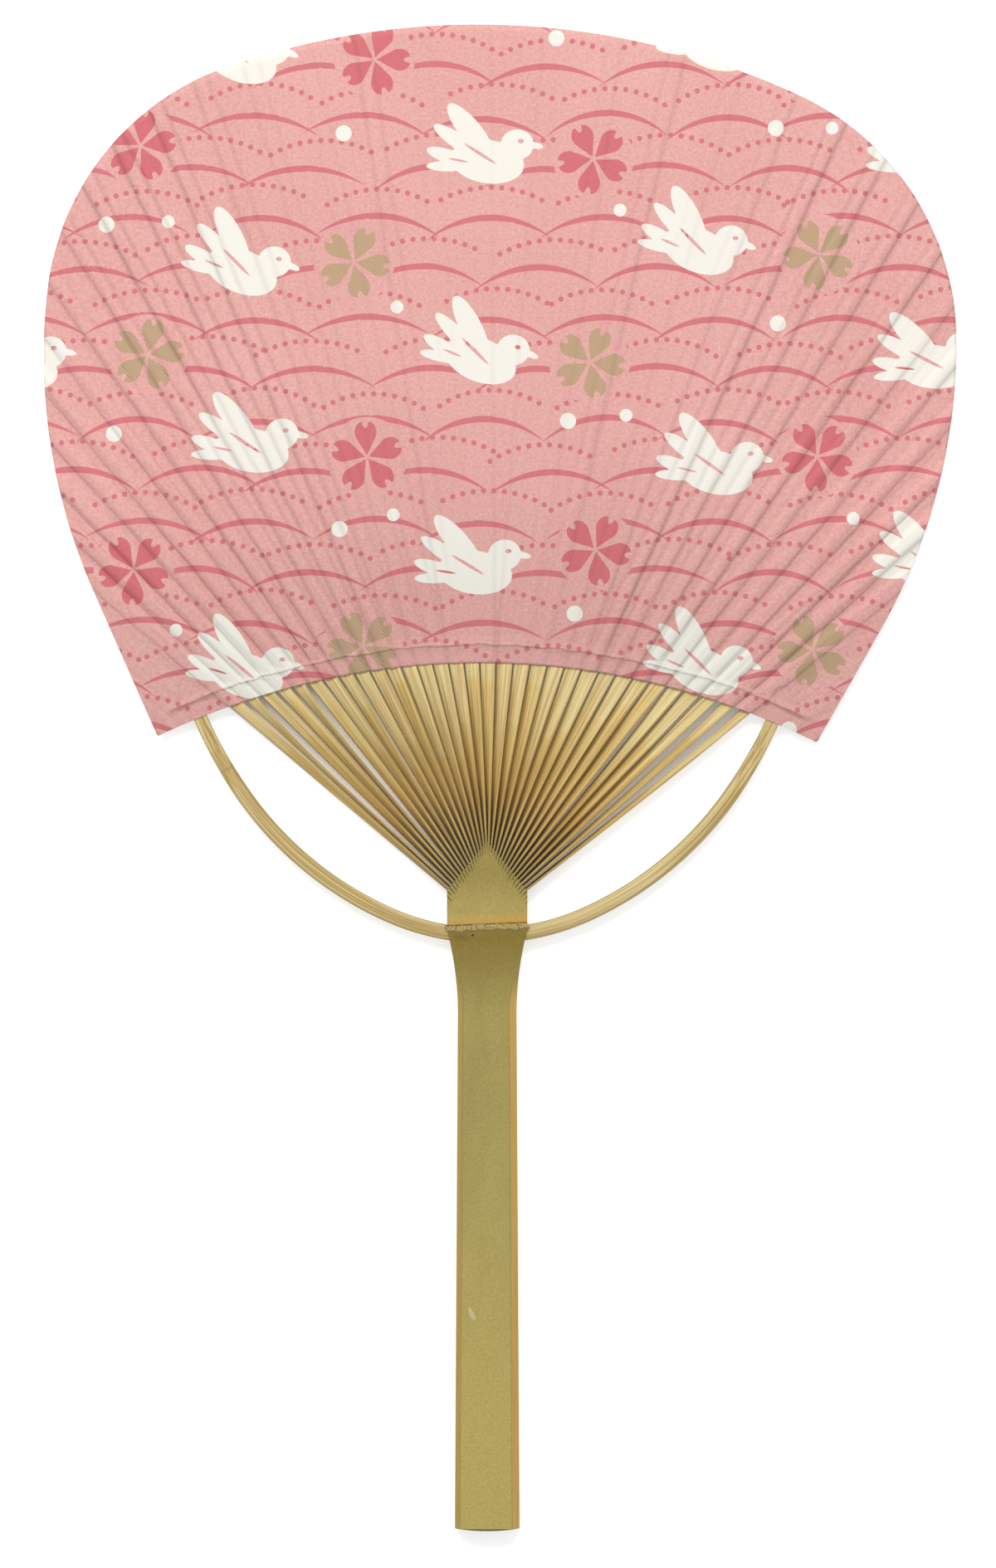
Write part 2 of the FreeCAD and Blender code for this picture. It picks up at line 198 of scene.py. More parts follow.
def seen_directly(add):
    """Return 1 where the eye, a reflection or a view through glass meets the surface, and 0 elsewhere."""
    path = add("LightPath")
    ways = ("Is Camera Ray", "Is Glossy Ray", "Is Transmission Ray")
    return combined(add, "MAXIMUM", [path.outputs[way] for way in ways])


def outside_painted_rib_shade(add):
    """Return 1 on the open floor and less in a wedge of painted shade under the ribs, from shoulder to hem.
    """
    place = add("VectorMath", "SCALE", add("TexCoord").outputs["Object"], Scale=1 / MM)
    x, y, _ = add("SeparateXYZ", None, place).outputs
    wedge = add("Math", "MULTIPLY_ADD", y, wedge_slope, wedge_start)
    within = add("Math", "SUBTRACT", wedge, add("Math", "ABSOLUTE", x))
    shade = add("MapRange", None, within, 0.0, wedge_blur, 0.0, wedge_shade)
    shade = add("Math", "MULTIPLY", shade, add("Math", "LESS_THAN", y, wedge_top))
    return add("Math", "SUBTRACT", 1.0, shade)


floor_material, add = start_material("matt_white_ground")
# The glow is cut under the ribs: painted shade on the floor.
glow = combined(add, "MULTIPLY", [seen_directly(add), floor_glow, outside_painted_rib_shade(add)])
glow_shader = add("Emission", None, "#ffffff", glow)
matt_shader = add("BsdfDiffuse", None, "#f4f4f4")
add("OutputMaterial", None, add("AddShader", None, matt_shader, glow_shader))
floor_mesh = bpy.data.meshes.new("floor")
floor_corners = ((-1, -1), (1, -1), (1, 1), (-1, 1))
floor_mesh.from_pydata([(x * floor_half * MM, y * floor_half * MM, cad_low.z) for x, y in floor_corners],
                       [], [(0, 1, 2, 3)])
floor_mesh.materials.append(floor_material)
floor = new_object("floor", floor_mesh)

world = bpy.data.worlds.new("soft_studio")
add = empty_nodes(world)
level = add("MapRange", None, seen_directly(add), 0.0, 1.0, world_level, 1.0)
add("OutputWorld", None, add("Background", None, "#ffffff", level))
scene.world = world

lamp_data = bpy.data.lights.new("window_lamp", "AREA")
lamp_data.shape = "RECTANGLE"
lamp_data.size = lamp_length * MM
lamp_data.size_y = lamp_depth * MM
# Light falls off with the square of the reach and with the slant, so the power makes up for both.
reach = math.sqrt(lamp_height ** 2 + lamp_beyond ** 2 + lamp_aside ** 2)
lamp_data.energy = lamp_level * math.pi ** 2 * (reach * MM) ** 2 * reach / lamp_height
lamp = new_object("window_lamp", lamp_data)
lamp.location = ((view_x + lamp_aside) * MM, (view_y + lamp_beyond) * MM, lamp_height * MM)
aim = camera.location.copy()
aim.z = 0
lamp.rotation_euler = (aim - lamp.location).to_track_quat("-Z", "Y").to_euler()
print("lamp power in watts:", round(lamp_data.energy, 2))

# %% [markdown]
# ## From arrays to meshes
# Every new surface here is a grid: a function of two parameters, worked out for all points at once.
# One function joins neighbouring points into faces, one closes a tube with its two ends, one closes a sheet
# with a wall round its edge, and the last makes the piece and rides it on the fan.

# %% Mesh helpers
def grid_faces(rows, columns, closed=False):
    """Return the faces of a grid of points, joined round from the last column to the first where closed."""
    row = np.arange(rows - 1)[:, None] * columns
    column = np.arange(columns if closed else columns - 1)[None, :]
    after = (column + 1) % columns
    corners = (row + column, row + after, row + columns + after, row + columns + column)
    return np.stack(np.broadcast_arrays(*corners), axis=-1).reshape(-1, 4)


def tube_faces(rows, columns, clockwise=False):
    """Return the faces of a tube with closed ends, all facing out. The points of a row run counter-clockwise
    as seen from the last row, or clockwise where that is said."""
    ring = np.arange(columns)
    faces = grid_faces(rows, columns, closed=True).tolist()
    faces += [ring[::-1].tolist(), (ring + (rows - 1) * columns).tolist()]
    return [face[::-1] for face in faces] if clockwise else faces


def sheet_faces(rows, columns):
    """Return the faces of a closed sheet: an upper grid, a lower grid and the wall between their edges."""
    upper = grid_faces(rows, columns)
    count = rows * columns
    index = np.arange(count).reshape(rows, columns)
    edge = np.concatenate([index[0], index[1:, -1], index[-1, -2::-1], index[-2:0:-1, 0]])
    following = np.roll(edge, -1)
    wall = np.stack([edge + count, following + count, following, edge], -1)
    return np.concatenate([upper, upper[:, ::-1] + count, wall]).tolist()


def make_piece(name, points, faces, material, slot, node, **fields):
    """Make a smooth mesh piece from points in mm, with one named field of values per keyword."""
    mesh = bpy.data.meshes.new(name)
    mesh.from_pydata((points.reshape(-1, 3) * MM).tolist(), [], faces)
    mesh.polygons.foreach_set("use_smooth", np.ones(len(mesh.polygons), bool))
    for field, values in fields.items():
        attribute = mesh.attributes.new(field, "FLOAT_VECTOR", "POINT")
        attribute.data.foreach_set("vector", np.ascontiguousarray(values, np.float32).ravel())
    mesh.materials.append(material)
    mesh.update()
    piece = new_object(name, mesh)
    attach(piece, "root")
    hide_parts(node)


# %% [markdown]
# ## Where the ribs run
# The ribs are split out of one strip. Each leaves the gable-shaped shoulder on edge and fans out to the hem,
# the paper's hollow lower edge, which is part of a large circle.
# A rib is known by a running number, so a number between two ribs is a line between them.

# %% The fan of rib lines
rib_count = 32
middle_rib = 16
shoulder_width = 20.0
eave_height = 8.8
gable_height = 12.3
wall_thickness = 3.85
culm_radius = 52.0
hem_radius = 186.3
hem_height = 65.6
hem_shift = -1.6
hem_centre = np.array([hem_shift, hem_height - hem_radius])
left_spread, right_spread = 62.6, 63.9
leaf_plane = 1.6
rib_thickness = 0.6


def hem_point(x):
    """Return the points of the hem circle at distances from the middle."""
    return np.stack([x, hem_centre[1] + np.sqrt(hem_radius ** 2 - (x - hem_centre[0]) ** 2)], -1)


def rib_ray(number):
    """Return where lines with these running numbers leave the gable and where they cross the hem, and their
    directions along and across."""
    root_x = (number + 0.5) * shoulder_width / rib_count - shoulder_width / 2
    root_y = eave_height + gable_height * (1 - 2 * np.abs(root_x) / shoulder_width)
    root = np.stack([root_x, root_y], -1)
    step = number - middle_rib
    hem = hem_point(np.where(step < 0, step * left_spread / middle_rib,
                             step * right_spread / (rib_count - 1 - middle_rib)))
    heading = (hem - root) / np.hypot(*(hem - root).T)[:, None]
    return root, hem, heading, np.stack([heading[:, 1], -heading[:, 0]], -1)


def skin_height(x):
    """Return the height of the culm's round skin over the flat back, by the distance from the middle."""
    return wall_thickness - culm_radius + np.sqrt(culm_radius ** 2 - x ** 2)


# %% [markdown]
# ## The leaf's outline
# The rim is a chain of three arcs on each side of a slightly leaning axis, and a straight run to the corner.
# It is kept as a distance from one point inside the leaf at each angle, so any line can be cut off there.

# %% The rim as a distance by angle
leaf_top = 224.5
leaf_shift = 7.3
leaf_lean = math.radians(2.9)
# Radius and turn in degrees of each arc, from the top down.
rim_arcs = ((190.4, 22.1), (67.2, 64.6), (145.1, 29.9))
corner_x_left, corner_x_right = -82.16, 82.13
rim_middle = np.array([0.0, 60.0])
arc_points = 160
longest_reach = 260.0
halvings = 40


def rim_half(side, corner_x):
    """Return one side of the rim from the top down: each arc goes on from the last one's end and heading."""
    heading = 0.0
    start = np.zeros(2)
    share = np.linspace(0, 1, arc_points)
    runs = []
    for radius, turn in rim_arcs:
        angle = np.radians(heading) + np.radians(turn) * share
        across = start[0] + radius * (np.sin(angle) - np.sin(angle[0]))
        down = start[1] - radius * (np.cos(angle[0]) - np.cos(angle))
        start = np.array([across[-1], down[-1]])
        heading += turn
        x = leaf_shift + side * across * math.cos(leaf_lean) + down * math.sin(leaf_lean)
        y = leaf_top - side * across * math.sin(leaf_lean) + down * math.cos(leaf_lean)
        runs.append(np.stack([x, y], -1))
    last = runs[-1][-1:]
    return np.concatenate([*runs, last + (hem_point(np.array([corner_x])) - last) * share[:, None]])


rim = np.concatenate([rim_half(-1, corner_x_left)[::-1], rim_half(1, corner_x_right)])
rim_angle = np.arctan2(rim[:, 0] - rim_middle[0], rim[:, 1] - rim_middle[1])
rim_distance = np.hypot(*(rim - rim_middle).T)


def rim_at(angle):
    """Return the rim's points at angles clockwise from straight up."""
    distance = np.interp(angle, rim_angle, rim_distance)
    return rim_middle + distance[:, None] * np.stack([np.sin(angle), np.cos(angle)], -1)


def rim_hit(start, heading):
    """Return where lines from points in the leaf meet the rim, by halving the reach."""
    low, high = np.zeros(len(start)), np.full(len(start), longest_reach)
    for _ in range(halvings):
        middle = (low + high) / 2
        offset = start + heading * middle[:, None] - rim_middle
        inside = np.hypot(*offset.T) < np.interp(np.arctan2(*offset.T), rim_angle, rim_distance)
        low, high = np.where(inside, middle, low), np.where(inside, high, middle)
    return start + heading * low[:, None]


print("leaf is", np.round(np.ptp(rim, axis=0), 1), "mm wide and high above its corners")

# %% [markdown]
# ## Split bamboo
# A rib shows three things: the fine straight fibres of the culm wall, a skin edge that is olive and smooth,
# and a pale pithy edge. A field called grain carries each point's place in the straightened rib, so the
# fibres follow the rib through its twist with no unwrapping. A field called build says how near the skin a
# point is, how far along the open part of the rib, and which tone the rib has.

# %% Split bamboo, riven and scraped
rib_line_pitch, rib_line_length = 0.42, 30.0
rib_band_pitch, rib_band_length = 1.6, 45.0
planed_late, planed_early = 0.98, 0.42


def fibres(add, grain, pitch, length):
    """Return fine fibre lines: noise that is squeezed across the grain and drawn out along it."""
    stretched = add("Mapping", None, grain, None, None, (1 / pitch, 1 / length, 1 / pitch))
    return add("TexNoise", None, stretched, Scale=1.0, Detail=3.0, Roughness=0.6)


def rib_material():
    """Split bamboo: straw fibre, paler where planed, amber to the root, olive skin, painted shade in the
    slits.
    """
    material, add = start_material("split_bamboo_riven")
    grain = add("Attribute", "grain").outputs["Vector"]
    skin, share, tone = field_parts(add, "build")
    lines = fibres(add, grain, rib_line_pitch, rib_line_length)
    bands = fibres(add, grain, rib_band_pitch, rib_band_length)
    straw = add("MixRGB", None, bands, "#d0ae5a", "#f4e09e")
    amber = add("MixRGB", None, bands, "#cc963e", "#fadd8c")
    planed_from = add("MapRange", None, tone, 0.0, 1.0, planed_late, planed_early)
    planed = add("Math", "SUBTRACT", share, planed_from)
    # Pale where planed, amber to the root, painted shade in the slits and on the lower edge, skin, skin at
    # root.
    colour = layered(
        add, straw,
        ("#eadba6", (planed, 0.0, 0.04, 0.0, 0.45)),
        (amber, (share, 0.72, 0.15, 0.0, 0.9)),
        ("#6a4a15", (share, 0.42, 0.04, 0.0, 0.75), (skin, 0.9, 0.5)),
        ("#6e4f1e", (skin, -0.72, -0.97, 0.0, 0.8)),
        ("#c0ab63", (skin, 0.8, 0.98), (share, 1.0, 0.35, 0.3, 1.0)),
        ("#a6965a", (skin, 0.7, 0.95), (share, 0.16, 0.02, 0.0, 0.9)))
    streak = add("MapRange", None, lines, 0.36, 0.58, 0.55, 0.0)
    colour = layered(add, colour, ("#b08546", streak), blend="MULTIPLY")
    end_material(add, colour, lines, depth=0.1, roughness=0.52, gloss=0.35)
    return material


split_bamboo = rib_material()

# %% [markdown]
# ## Ribs
# A rib's section is a rounded oblong, a superellipse. It starts on edge at the gable, with its skin up, and
# turns a quarter turn on its way to the hem, where it lies flat. Its turn at each step is the one that
# lets it cover its share of the room between its neighbours, so the fan stays closed like a louvre.
# Hand-split ribs are never alike: cover, width and tone differ by a seeded draw, and a few stand apart.

# %% Carry the section along each rib
section_points = 24
squareness = 4.0
open_steps = 64
hidden_steps = 14
split_width = 0.575
gap_middle, gap_outer = 0.14, 0.7
rim_inset = 0.5
root_sink = 0.8
root_cover = 1.06
opening_roundness = 0.7
grain_step = 7.0
# Each rib has its own cover, width and tone, and a few stand open or narrow.
rib_seed = 7
draw = np.random.default_rng(rib_seed)
rib_cover = draw.uniform(0.95, 1.03, rib_count)
rib_width = draw.uniform(-0.12, 0.0, rib_count)
rib_tone = draw.uniform(0.0, 1.0, rib_count)
rib_opening = np.zeros(rib_count)
rib_opening[[1, 4, 7, 27, 30, 31]] = (0.52, 0.44, 0.14, 0.2, 0.3, 0.35)
rib_narrowing = np.zeros(rib_count)
rib_narrowing[[29, 30, 31]] = (0.04, 0.15, 0.2)


def rounded_section():
    """Return the two coordinates of a superellipse from -1 to 1, at even turns."""
    turn = 2 * np.pi * np.arange(section_points) / section_points
    return [np.sign(wave) * np.abs(wave) ** (2 / squareness) for wave in (np.cos(turn), np.sin(turn))]


def rib_points():
    """Return all ribs' points by rib, step and place round the section, and their grain and build fields."""
    number = np.arange(rib_count, dtype=float)
    root, hem, heading, across = rib_ray(number)
    length = np.hypot(*(hem - root).T)[:, None]
    root_spacing, spacing = (np.abs(np.sum(np.gradient(ends, axis=0) * across, axis=1))[:, None]
                             for ends in (root, hem))
    outer = np.abs(number[:, None] - middle_rib) / middle_rib
    outer_side = np.sign(number - middle_rib)[:, None]
    narrowing = spacing * rib_narrowing[:, None]
    width = spacing - gap_middle - (gap_outer - gap_middle) * outer ** 2 + rib_width[:, None] - narrowing
    edges = [hem + across * (outer_side * narrowing + sign * width) / 2 for sign in (-1, 1)]
    hits = [np.sum((rim_hit(edge, heading) - edge) * heading, axis=1) for edge in edges]
    reach = np.minimum(*hits)[:, None] - rim_inset
    share = np.concatenate([np.linspace(0, 1, open_steps + 1), np.ones(hidden_steps)])[None, :]
    far = np.concatenate([np.zeros(open_steps + 1), np.linspace(0, 1, hidden_steps + 1)[1:]])[None, :]
    along = share * (length + root_sink) - root_sink + far * reach
    depth_at_root = skin_height(root[:, :1])
    depth = depth_at_root + (width - depth_at_root) * share
    thickness = split_width + (rib_thickness - split_width) * share
    pitch = root_spacing + (spacing - root_spacing) * share
    cover = root_cover * rib_cover[:, None] * (1 - share ** 2) + width / spacing * share ** 2
    opened = rib_opening[:, None] * np.sin(np.pi * share) ** opening_roundness
    seen = pitch * (cover - opened)
    twist = np.arcsin(np.clip((seen - thickness * (1 - share)) / depth, 0, 1))[..., None]
    height = depth_at_root / 2 + (leaf_plane - depth_at_root / 2) * share
    side, skin = rounded_section()
    sideways = side * thickness[..., None] / 2
    skinwards = skin * depth[..., None] / 2
    in_plane = sideways * np.cos(twist) + skinwards * np.sin(twist)
    upright = -sideways * np.sin(twist) + skinwards * np.cos(twist)
    outwards = outer_side * (opened * pitch + narrowing * share) / 2
    flat = root[:, None, None] + heading[:, None, None] * along[..., None, None]
    flat = flat + across[:, None, None] * (in_plane + outwards[..., None])[..., None]
    points = np.concatenate([flat, (height[..., None] + upright)[..., None]], -1)
    full = np.zeros(points.shape[:-1])
    apart = grain_step * number[:, None, None]
    grain = np.stack([skinwards, along[..., None] + full, sideways + apart + full], -1)
    build = np.stack([skin + full, share[..., None] + full, rib_tone[:, None, None] + full], -1)
    return points, grain, build


points, grain, build = rib_points()
rib_faces = tube_faces(open_steps + hidden_steps + 1, section_points, clockwise=True)
for index in range(rib_count):
    name = f"rib_{index + 1:02d}"
    make_piece("split_" + name, points[index], rib_faces, split_bamboo, "split_bamboo", name,
               grain=grain[index], build=build[index])
print(rib_count, "ribs of", len(rib_faces), "faces")

# %% [markdown]
# ## The bow
# A slim strip is pushed through the node and bent up to the paper's corners. Its line is three tangent arcs
# on each side, so a point is found from the angle that the bow has turned through. Towards the hem it is
# thinned to a tongue that lies among the ribs.

# %% Carry the section along the bow
bow_drop = 2.4
# Radius and turn in degrees of each arc, from the node out.
bow_arcs = ((60.0, 24.0), (88.0, 32.0), (115.0, 34.0))
bow_width, bow_tip_width = 3.8, 3.4
bow_thickness = 2.4
bow_taper_turn, bow_last_turn = 56.0, 84.0
bow_flat_lead = 1.2
bow_tuck_turn = 3.4
bow_node_x = -64.8
bow_steps = 220
search_steps = 4000
bow_line_pitch, bow_line_length = 0.5, 60.0
bow_band_pitch, bow_band_length = 1.3, 90.0


def bow_line(turn):
    """Return the bow's points and headings on the right, from the angles in degrees that it has turned."""
    x, y = np.zeros_like(turn), np.full_like(turn, -bow_drop)
    begun = 0.0
    for radius, span in bow_arcs:
        low, high = np.radians(begun), np.radians(np.clip(turn, begun, begun + span))
        x = x + radius * (np.sin(high) - np.sin(low))
        y = y + radius * (np.cos(low) - np.cos(high))
        begun += span
    return np.stack([x, y], -1), np.stack([np.cos(np.radians(turn)), np.sin(np.radians(turn))], -1)


def hem_turn(side):
    """Return the turn at which the bow crosses the hem, found by looking along its end."""
    turn = np.linspace(bow_taper_turn, bow_last_turn, search_steps)
    place = bow_line(turn)[0] * [side, 1]
    return turn[np.argmax(np.hypot(*(place - hem_centre).T) > hem_radius)]


def bow_points():
    """Return the bow's points by step and place round its section, from left to right, and its fields."""
    hem_left, hem_right = hem_turn(-1), hem_turn(1)
    turn = np.linspace(-hem_left - bow_tuck_turn, hem_right + bow_tuck_turn, bow_steps)
    side = np.where(turn < 0, -1.0, 1.0)
    place, heading = bow_line(np.abs(turn))
    place = place * np.stack([side, np.ones_like(side)], -1)
    outward = np.stack([heading[:, 1] * side, -heading[:, 0]], -1)
    flat_turn = np.where(turn < 0, hem_left, hem_right) - bow_flat_lead
    thin = np.clip((np.abs(turn) - bow_taper_turn) / (flat_turn - bow_taper_turn), 0, 1)[:, None]
    width = bow_width + (bow_tip_width - bow_width) * thin
    thickness = bow_thickness + (rib_thickness - bow_thickness) * thin
    out, up = rounded_section()
    flat = place[:, None] + outward[:, None] * (out * width / 2)[..., None]
    points = np.concatenate([flat, (leaf_plane + up * thickness / 2)[..., None]], -1)
    along = np.concatenate([[0], np.cumsum(np.hypot(*np.diff(place, axis=0).T))])[:, None]
    full = np.zeros(points.shape[:-1])
    grain = np.stack([out * width / 2, along + full, up * thickness / 2], -1)
    build = np.stack([out + full, along + full, full], -1)
    return points, grain, build


def bow_material(node_along):
    """Bamboo strip, shaved and bent: straw fibre, with a thin olive line along its edges, partly skin left
    on and partly painted shade, and a faint brown ring where the culm's joint was planed flat."""
    material, add = start_material("shaved_bamboo_bow")
    grain = add("Attribute", "grain").outputs["Vector"]
    out, along, _ = field_parts(add, "build")
    lines = fibres(add, grain, bow_line_pitch, bow_line_length)
    bands = fibres(add, grain, bow_band_pitch, bow_band_length)
    straw = add("MixRGB", None, bands, "#cbb168", "#ecdca6")
    streak = add("MapRange", None, lines, 0.4, 0.58, 0.75, 0.0)
    colour = layered(add, straw, ("#b8975c", streak), blend="MULTIPLY")
    from_middle = add("Math", "ABSOLUTE", out)
    from_node = add("Math", "ABSOLUTE", add("Math", "SUBTRACT", along, node_along))
    # The olive edges are partly the skin left on and partly painted shade; the brown ring marks the joint.
    colour = layered(
        add, colour,
        ("#857a45", (from_middle, 0.8, 1.0, 0.0, 0.85)),
        ("#a07c48", (from_node, 0.6, 0.1, 0.0, 0.4)))
    end_material(add, colour, lines, depth=0.1, roughness=0.45, gloss=0.4)
    return material


points, grain, build = bow_points()
bow_faces = tube_faces(bow_steps, section_points, clockwise=True)
node_along = float(np.interp(bow_node_x, points[..., 0].mean(axis=1), grain[:, 0, 1]))
make_piece("bent_bow", points, bow_faces, bow_material(node_along), "bamboo_bow", "bow",
           grain=grain, build=build)
print("bow length in mm:", round(float(grain[-1, 0, 1]), 1))

# %% [markdown]
# ## Paper pasted on ribs
# Paste shrinks as it dries and pulls the paper down between the ribs, so every rib shows as a low ridge,
# most of all at the sides where the gaps are wide. The lacing thread lifts a line above the hem.
# Each column of the grid follows a rib line, so the creases stay crisp with few points. The sheet has an
# upper and a lower face from the same grid, and a narrow wall all round closes it.

# %% The leaf's grid and its relief
# Columns to a rib, columns beyond the last rib, and rows.
front_grid = (12, 26, 104)
back_grid = (8, 18, 80)
front_seed, back_seed = 11, 12
margin_end = 0.985
hem_crowding, hem_crowded = 0.055, 0.08
paper_thickness = 0.18
rib_half_width = 1.7
crease_width = 1.7
crease_start = 0.6
crease_middle = 0.4
crease_uneven = 1.1
outer_start, outer_full = 0.1, 0.75
ridge_height = 0.5
front_valley, back_valley = 0.36, 0.18
wander_low, wander_high = 0.6, 1.1
wander_span = 180.0
wander_knots = 10
inside_last = 0.01
corner_sink = 0.27
corner_slope = 1.6
tip_near, tip_clear = 0.1, 1.2
thread_distance = 4.7
thread_lift = 0.5
thread_weave = 0.08
thread_width = 0.75
# Height, rate and start of each wave in the thread's line.
thread_waves = ((0.14, 2.1, 0.0), (0.1, 0.83, 1.0))
lacing_fades, lacing_ends = 1.15, 1.5


def leaf_columns(per_rib, margin):
    """Return each column's running rib number, its hem point and its rim point, from corner to corner."""
    number = np.linspace(0, rib_count - 1, (rib_count - 1) * per_rib + 1)
    _, hem, heading, _ = rib_ray(number)
    rim_end = rim_hit(hem, heading)
    out = np.linspace(0, margin_end, margin + 1)[1:]
    sides = []
    for end, corner_x, sign in ((0, corner_x_left, -1), (-1, corner_x_right, 1)):
        hem_x = hem[end, 0] + (corner_x - hem[end, 0]) * out
        start = np.arctan2(*(rim_end[end] - rim_middle))
        sides.append((number[end] + sign * out * margin / per_rib, hem_point(hem_x),
                      rim_at(start + (rim_angle[end] - start) * out)))
    return [np.concatenate([left[::-1], middle, right])
            for left, middle, right in zip(sides[0], (number, hem, rim_end), sides[1])]


def smooth_step(low, high, value):
    """Return 0 below low, 1 above high and a smooth rise between."""
    share = np.clip((value - low) / (high - low), 0, 1)
    return share * share * (3 - 2 * share)


def leaf_grid(per_rib, margin, rows):
    """Return the leaf's flat points by row and column, with rib numbers and the distance above the hem.
    Rows lie closer together near the hem, where the thread needs them."""
    number, hem, rim_end = leaf_columns(per_rib, margin)
    step = np.linspace(0, 1, rows)
    rise = step - hem_crowding * (1 - np.exp(-step / hem_crowded))
    rise = (rise / rise[-1])[:, None, None]
    flat = hem + (rim_end - hem) * rise
    above = np.hypot(flat[..., 0] - hem_centre[0], flat[..., 1] - hem_centre[1]) - hem_radius
    return flat, np.broadcast_to(number, above.shape), above


def near_bow_tip(flat, side):
    """Return the distance of points from the flat tongue at one end of the bow, a short straight run."""
    ends = bow_line(hem_turn(side) + np.array([-bow_tuck_turn, bow_tuck_turn]))[0] * [side, 1]
    run = ends[1] - ends[0]
    share = np.clip((flat - ends[0]) @ run / (run @ run), 0, 1)
    return np.hypot(*np.moveaxis(flat - ends[0] - share[..., None] * run, -1, 0))


def between_knots(table, row, column):
    """Return a table's values at places between its knots, along straight lines in both directions."""
    above, aside = row.astype(int), column.astype(int)
    near, far = (table[above, place] + (table[above + 1, place] - table[above, place]) * (row - above)
                 for place in (aside, aside + 1))
    return near + (far - near) * (column - aside)


def crease_strength(number, above, seed):
    """Return how strongly the paper is creased: fully at the sides and unevenly in the middle, and wandering
    from rib to rib and along them."""
    draws = np.random.default_rng(seed)
    half_ribs = 2 * rib_count
    uneven = crease_uneven * draws.uniform(0, 1, half_ribs) ** 2
    middle = crease_middle * np.interp(2 * number, np.arange(half_ribs), uneven)
    outer = smooth_step(outer_start, outer_full, np.abs(number - middle_rib) / middle_rib)
    wander = draws.uniform(wander_low, wander_high, (half_ribs, wander_knots))
    knots = wander_knots - 1
    place = np.clip(above / wander_span * knots, 0, knots - inside_last)
    half_step = np.clip(2 * number, 0, half_ribs - 1 - inside_last)
    return np.minimum((middle + (1 - middle) * outer) * between_knots(wander, half_step, place), 1.0)


def leaf_relief(flat, number, above, valley_depth, seed):
    """Return how far the paper stands over its resting level, and two fields: the distance from the nearest
    rib's line with the crease's strength and where the thread runs, and the running rib number with the
    height above the hem. The relief has the creases' soft part, the thread's line, the tips of the bow and
    the sunken corners outside the last ribs."""
    nearest = np.clip(np.rint(number), 0, rib_count - 1).astype(int)
    _, hem, _, across = rib_ray(np.arange(rib_count))
    distance = np.abs(np.sum((flat - hem[nearest]) * across[nearest], axis=-1))
    strength = crease_strength(number, above, seed)
    fall = smooth_step(crease_start, crease_start + crease_width, distance)
    relief = strength * (ridge_height - (ridge_height + valley_depth) * fall)
    for side, last in ((-1, number < 0), (1, number > rib_count - 1)):
        half_tip = bow_tip_width / 2
        clear = smooth_step(half_tip + tip_near, half_tip + tip_clear, near_bow_tip(flat, side))
        sunk = corner_sink * smooth_step(rib_half_width, rib_half_width + corner_slope, distance) * clear
        relief = np.where(last, strength * ridge_height * (1 - fall) - sunk, relief)
        strength = np.where(last, clear, strength)
    wave = sum(height * np.sin(number * rate + start) for height, rate, start in thread_waves)
    lift = thread_lift * (1 - thread_weave + thread_weave * np.cos(np.pi * number))
    beyond = np.clip(np.abs(number - (rib_count - 1) / 2) - (rib_count - 1) / 2, 0, None)
    laced = 1 - smooth_step(lacing_fades, lacing_ends, beyond)
    over_thread = laced * np.exp(-((above - thread_distance - wave) / thread_width) ** 4)
    relief = relief + (lift - relief) * over_thread
    return relief, np.stack([distance, strength, laced], -1), np.stack([number, above, 0 * above], -1)


flat, number, above = leaf_grid(*front_grid)
relief, crease, run = leaf_relief(flat, number, above, front_valley, front_seed)
print("front sheet:", flat.shape[0] * flat.shape[1] * 4, "triangles, relief in mm",
      np.round([relief.min(), relief.max()], 2))

# %% [markdown]
# ## The print
# The paper is printed with old stock motifs: brush-drawn waves, dotted waves, plovers, cherry blossoms and
# snow dots. Drawing them point by point would be coarse, so each field below carries only smooth
# measures: how far a point is from a stroke's middle line, or where it is in a blossom's own frame.
# The shader then draws the shape from those measures, sharp at any size.

# %% Wave strokes and dots as fields
wave_step = 29.0
wave_row = 12.6
wave_reach = 17.2
wave_drop = 8.4
wave_lift = 0.45
wave_move = 2.2
wave_tilt = 0.06
wave_bend = 0.13
wave_radius = 26.0
wave_taper = 1.7
# Draws for each wave, and the rows and columns after which they come again.
wave_draws = (4, 64, 32)
stroke_half = 0.8
dot_pitch = 2.62
dot_radius = 0.66
dots_each_side = 5
dots_reach = (dots_each_side + 0.5) * dot_pitch
field_reach = 2.1


def wave_field(flat, start_x, start_y, half, reach, seed):
    """Return each point's distance from its wave's arc, its place along it and the stroke's half width.
    Waves lie in rows, every other row moved on by half a step, and each has its own bend and tilt."""
    row = np.floor((flat[..., 1] - start_y + wave_drop) / wave_row).astype(int)
    shift = start_x + (row % 2) * wave_step / 2
    column = np.rint((flat[..., 0] - shift) / (2 * wave_step)).astype(int)
    draws = np.random.default_rng(seed).uniform(-1, 1, wave_draws)
    bend, tilt, lift, move = draws[:, row % wave_draws[1], column % wave_draws[2]]
    radius = wave_radius * (1 + wave_bend * bend)
    x = flat[..., 0] - shift - column * 2 * wave_step - wave_move * move
    level_y = flat[..., 1] - start_y - row * wave_row
    y = level_y - wave_lift * lift
    distance = np.hypot(x, y + radius) - radius
    along = radius * (np.arctan2(x, y + radius) - wave_tilt * tilt)
    inside = (np.abs(distance) < field_reach) & (level_y > field_reach - wave_drop)
    width = np.where(inside, half * (1 - np.abs(along / reach) ** wave_taper), -1.0)
    return np.stack([distance, along, width], -1)


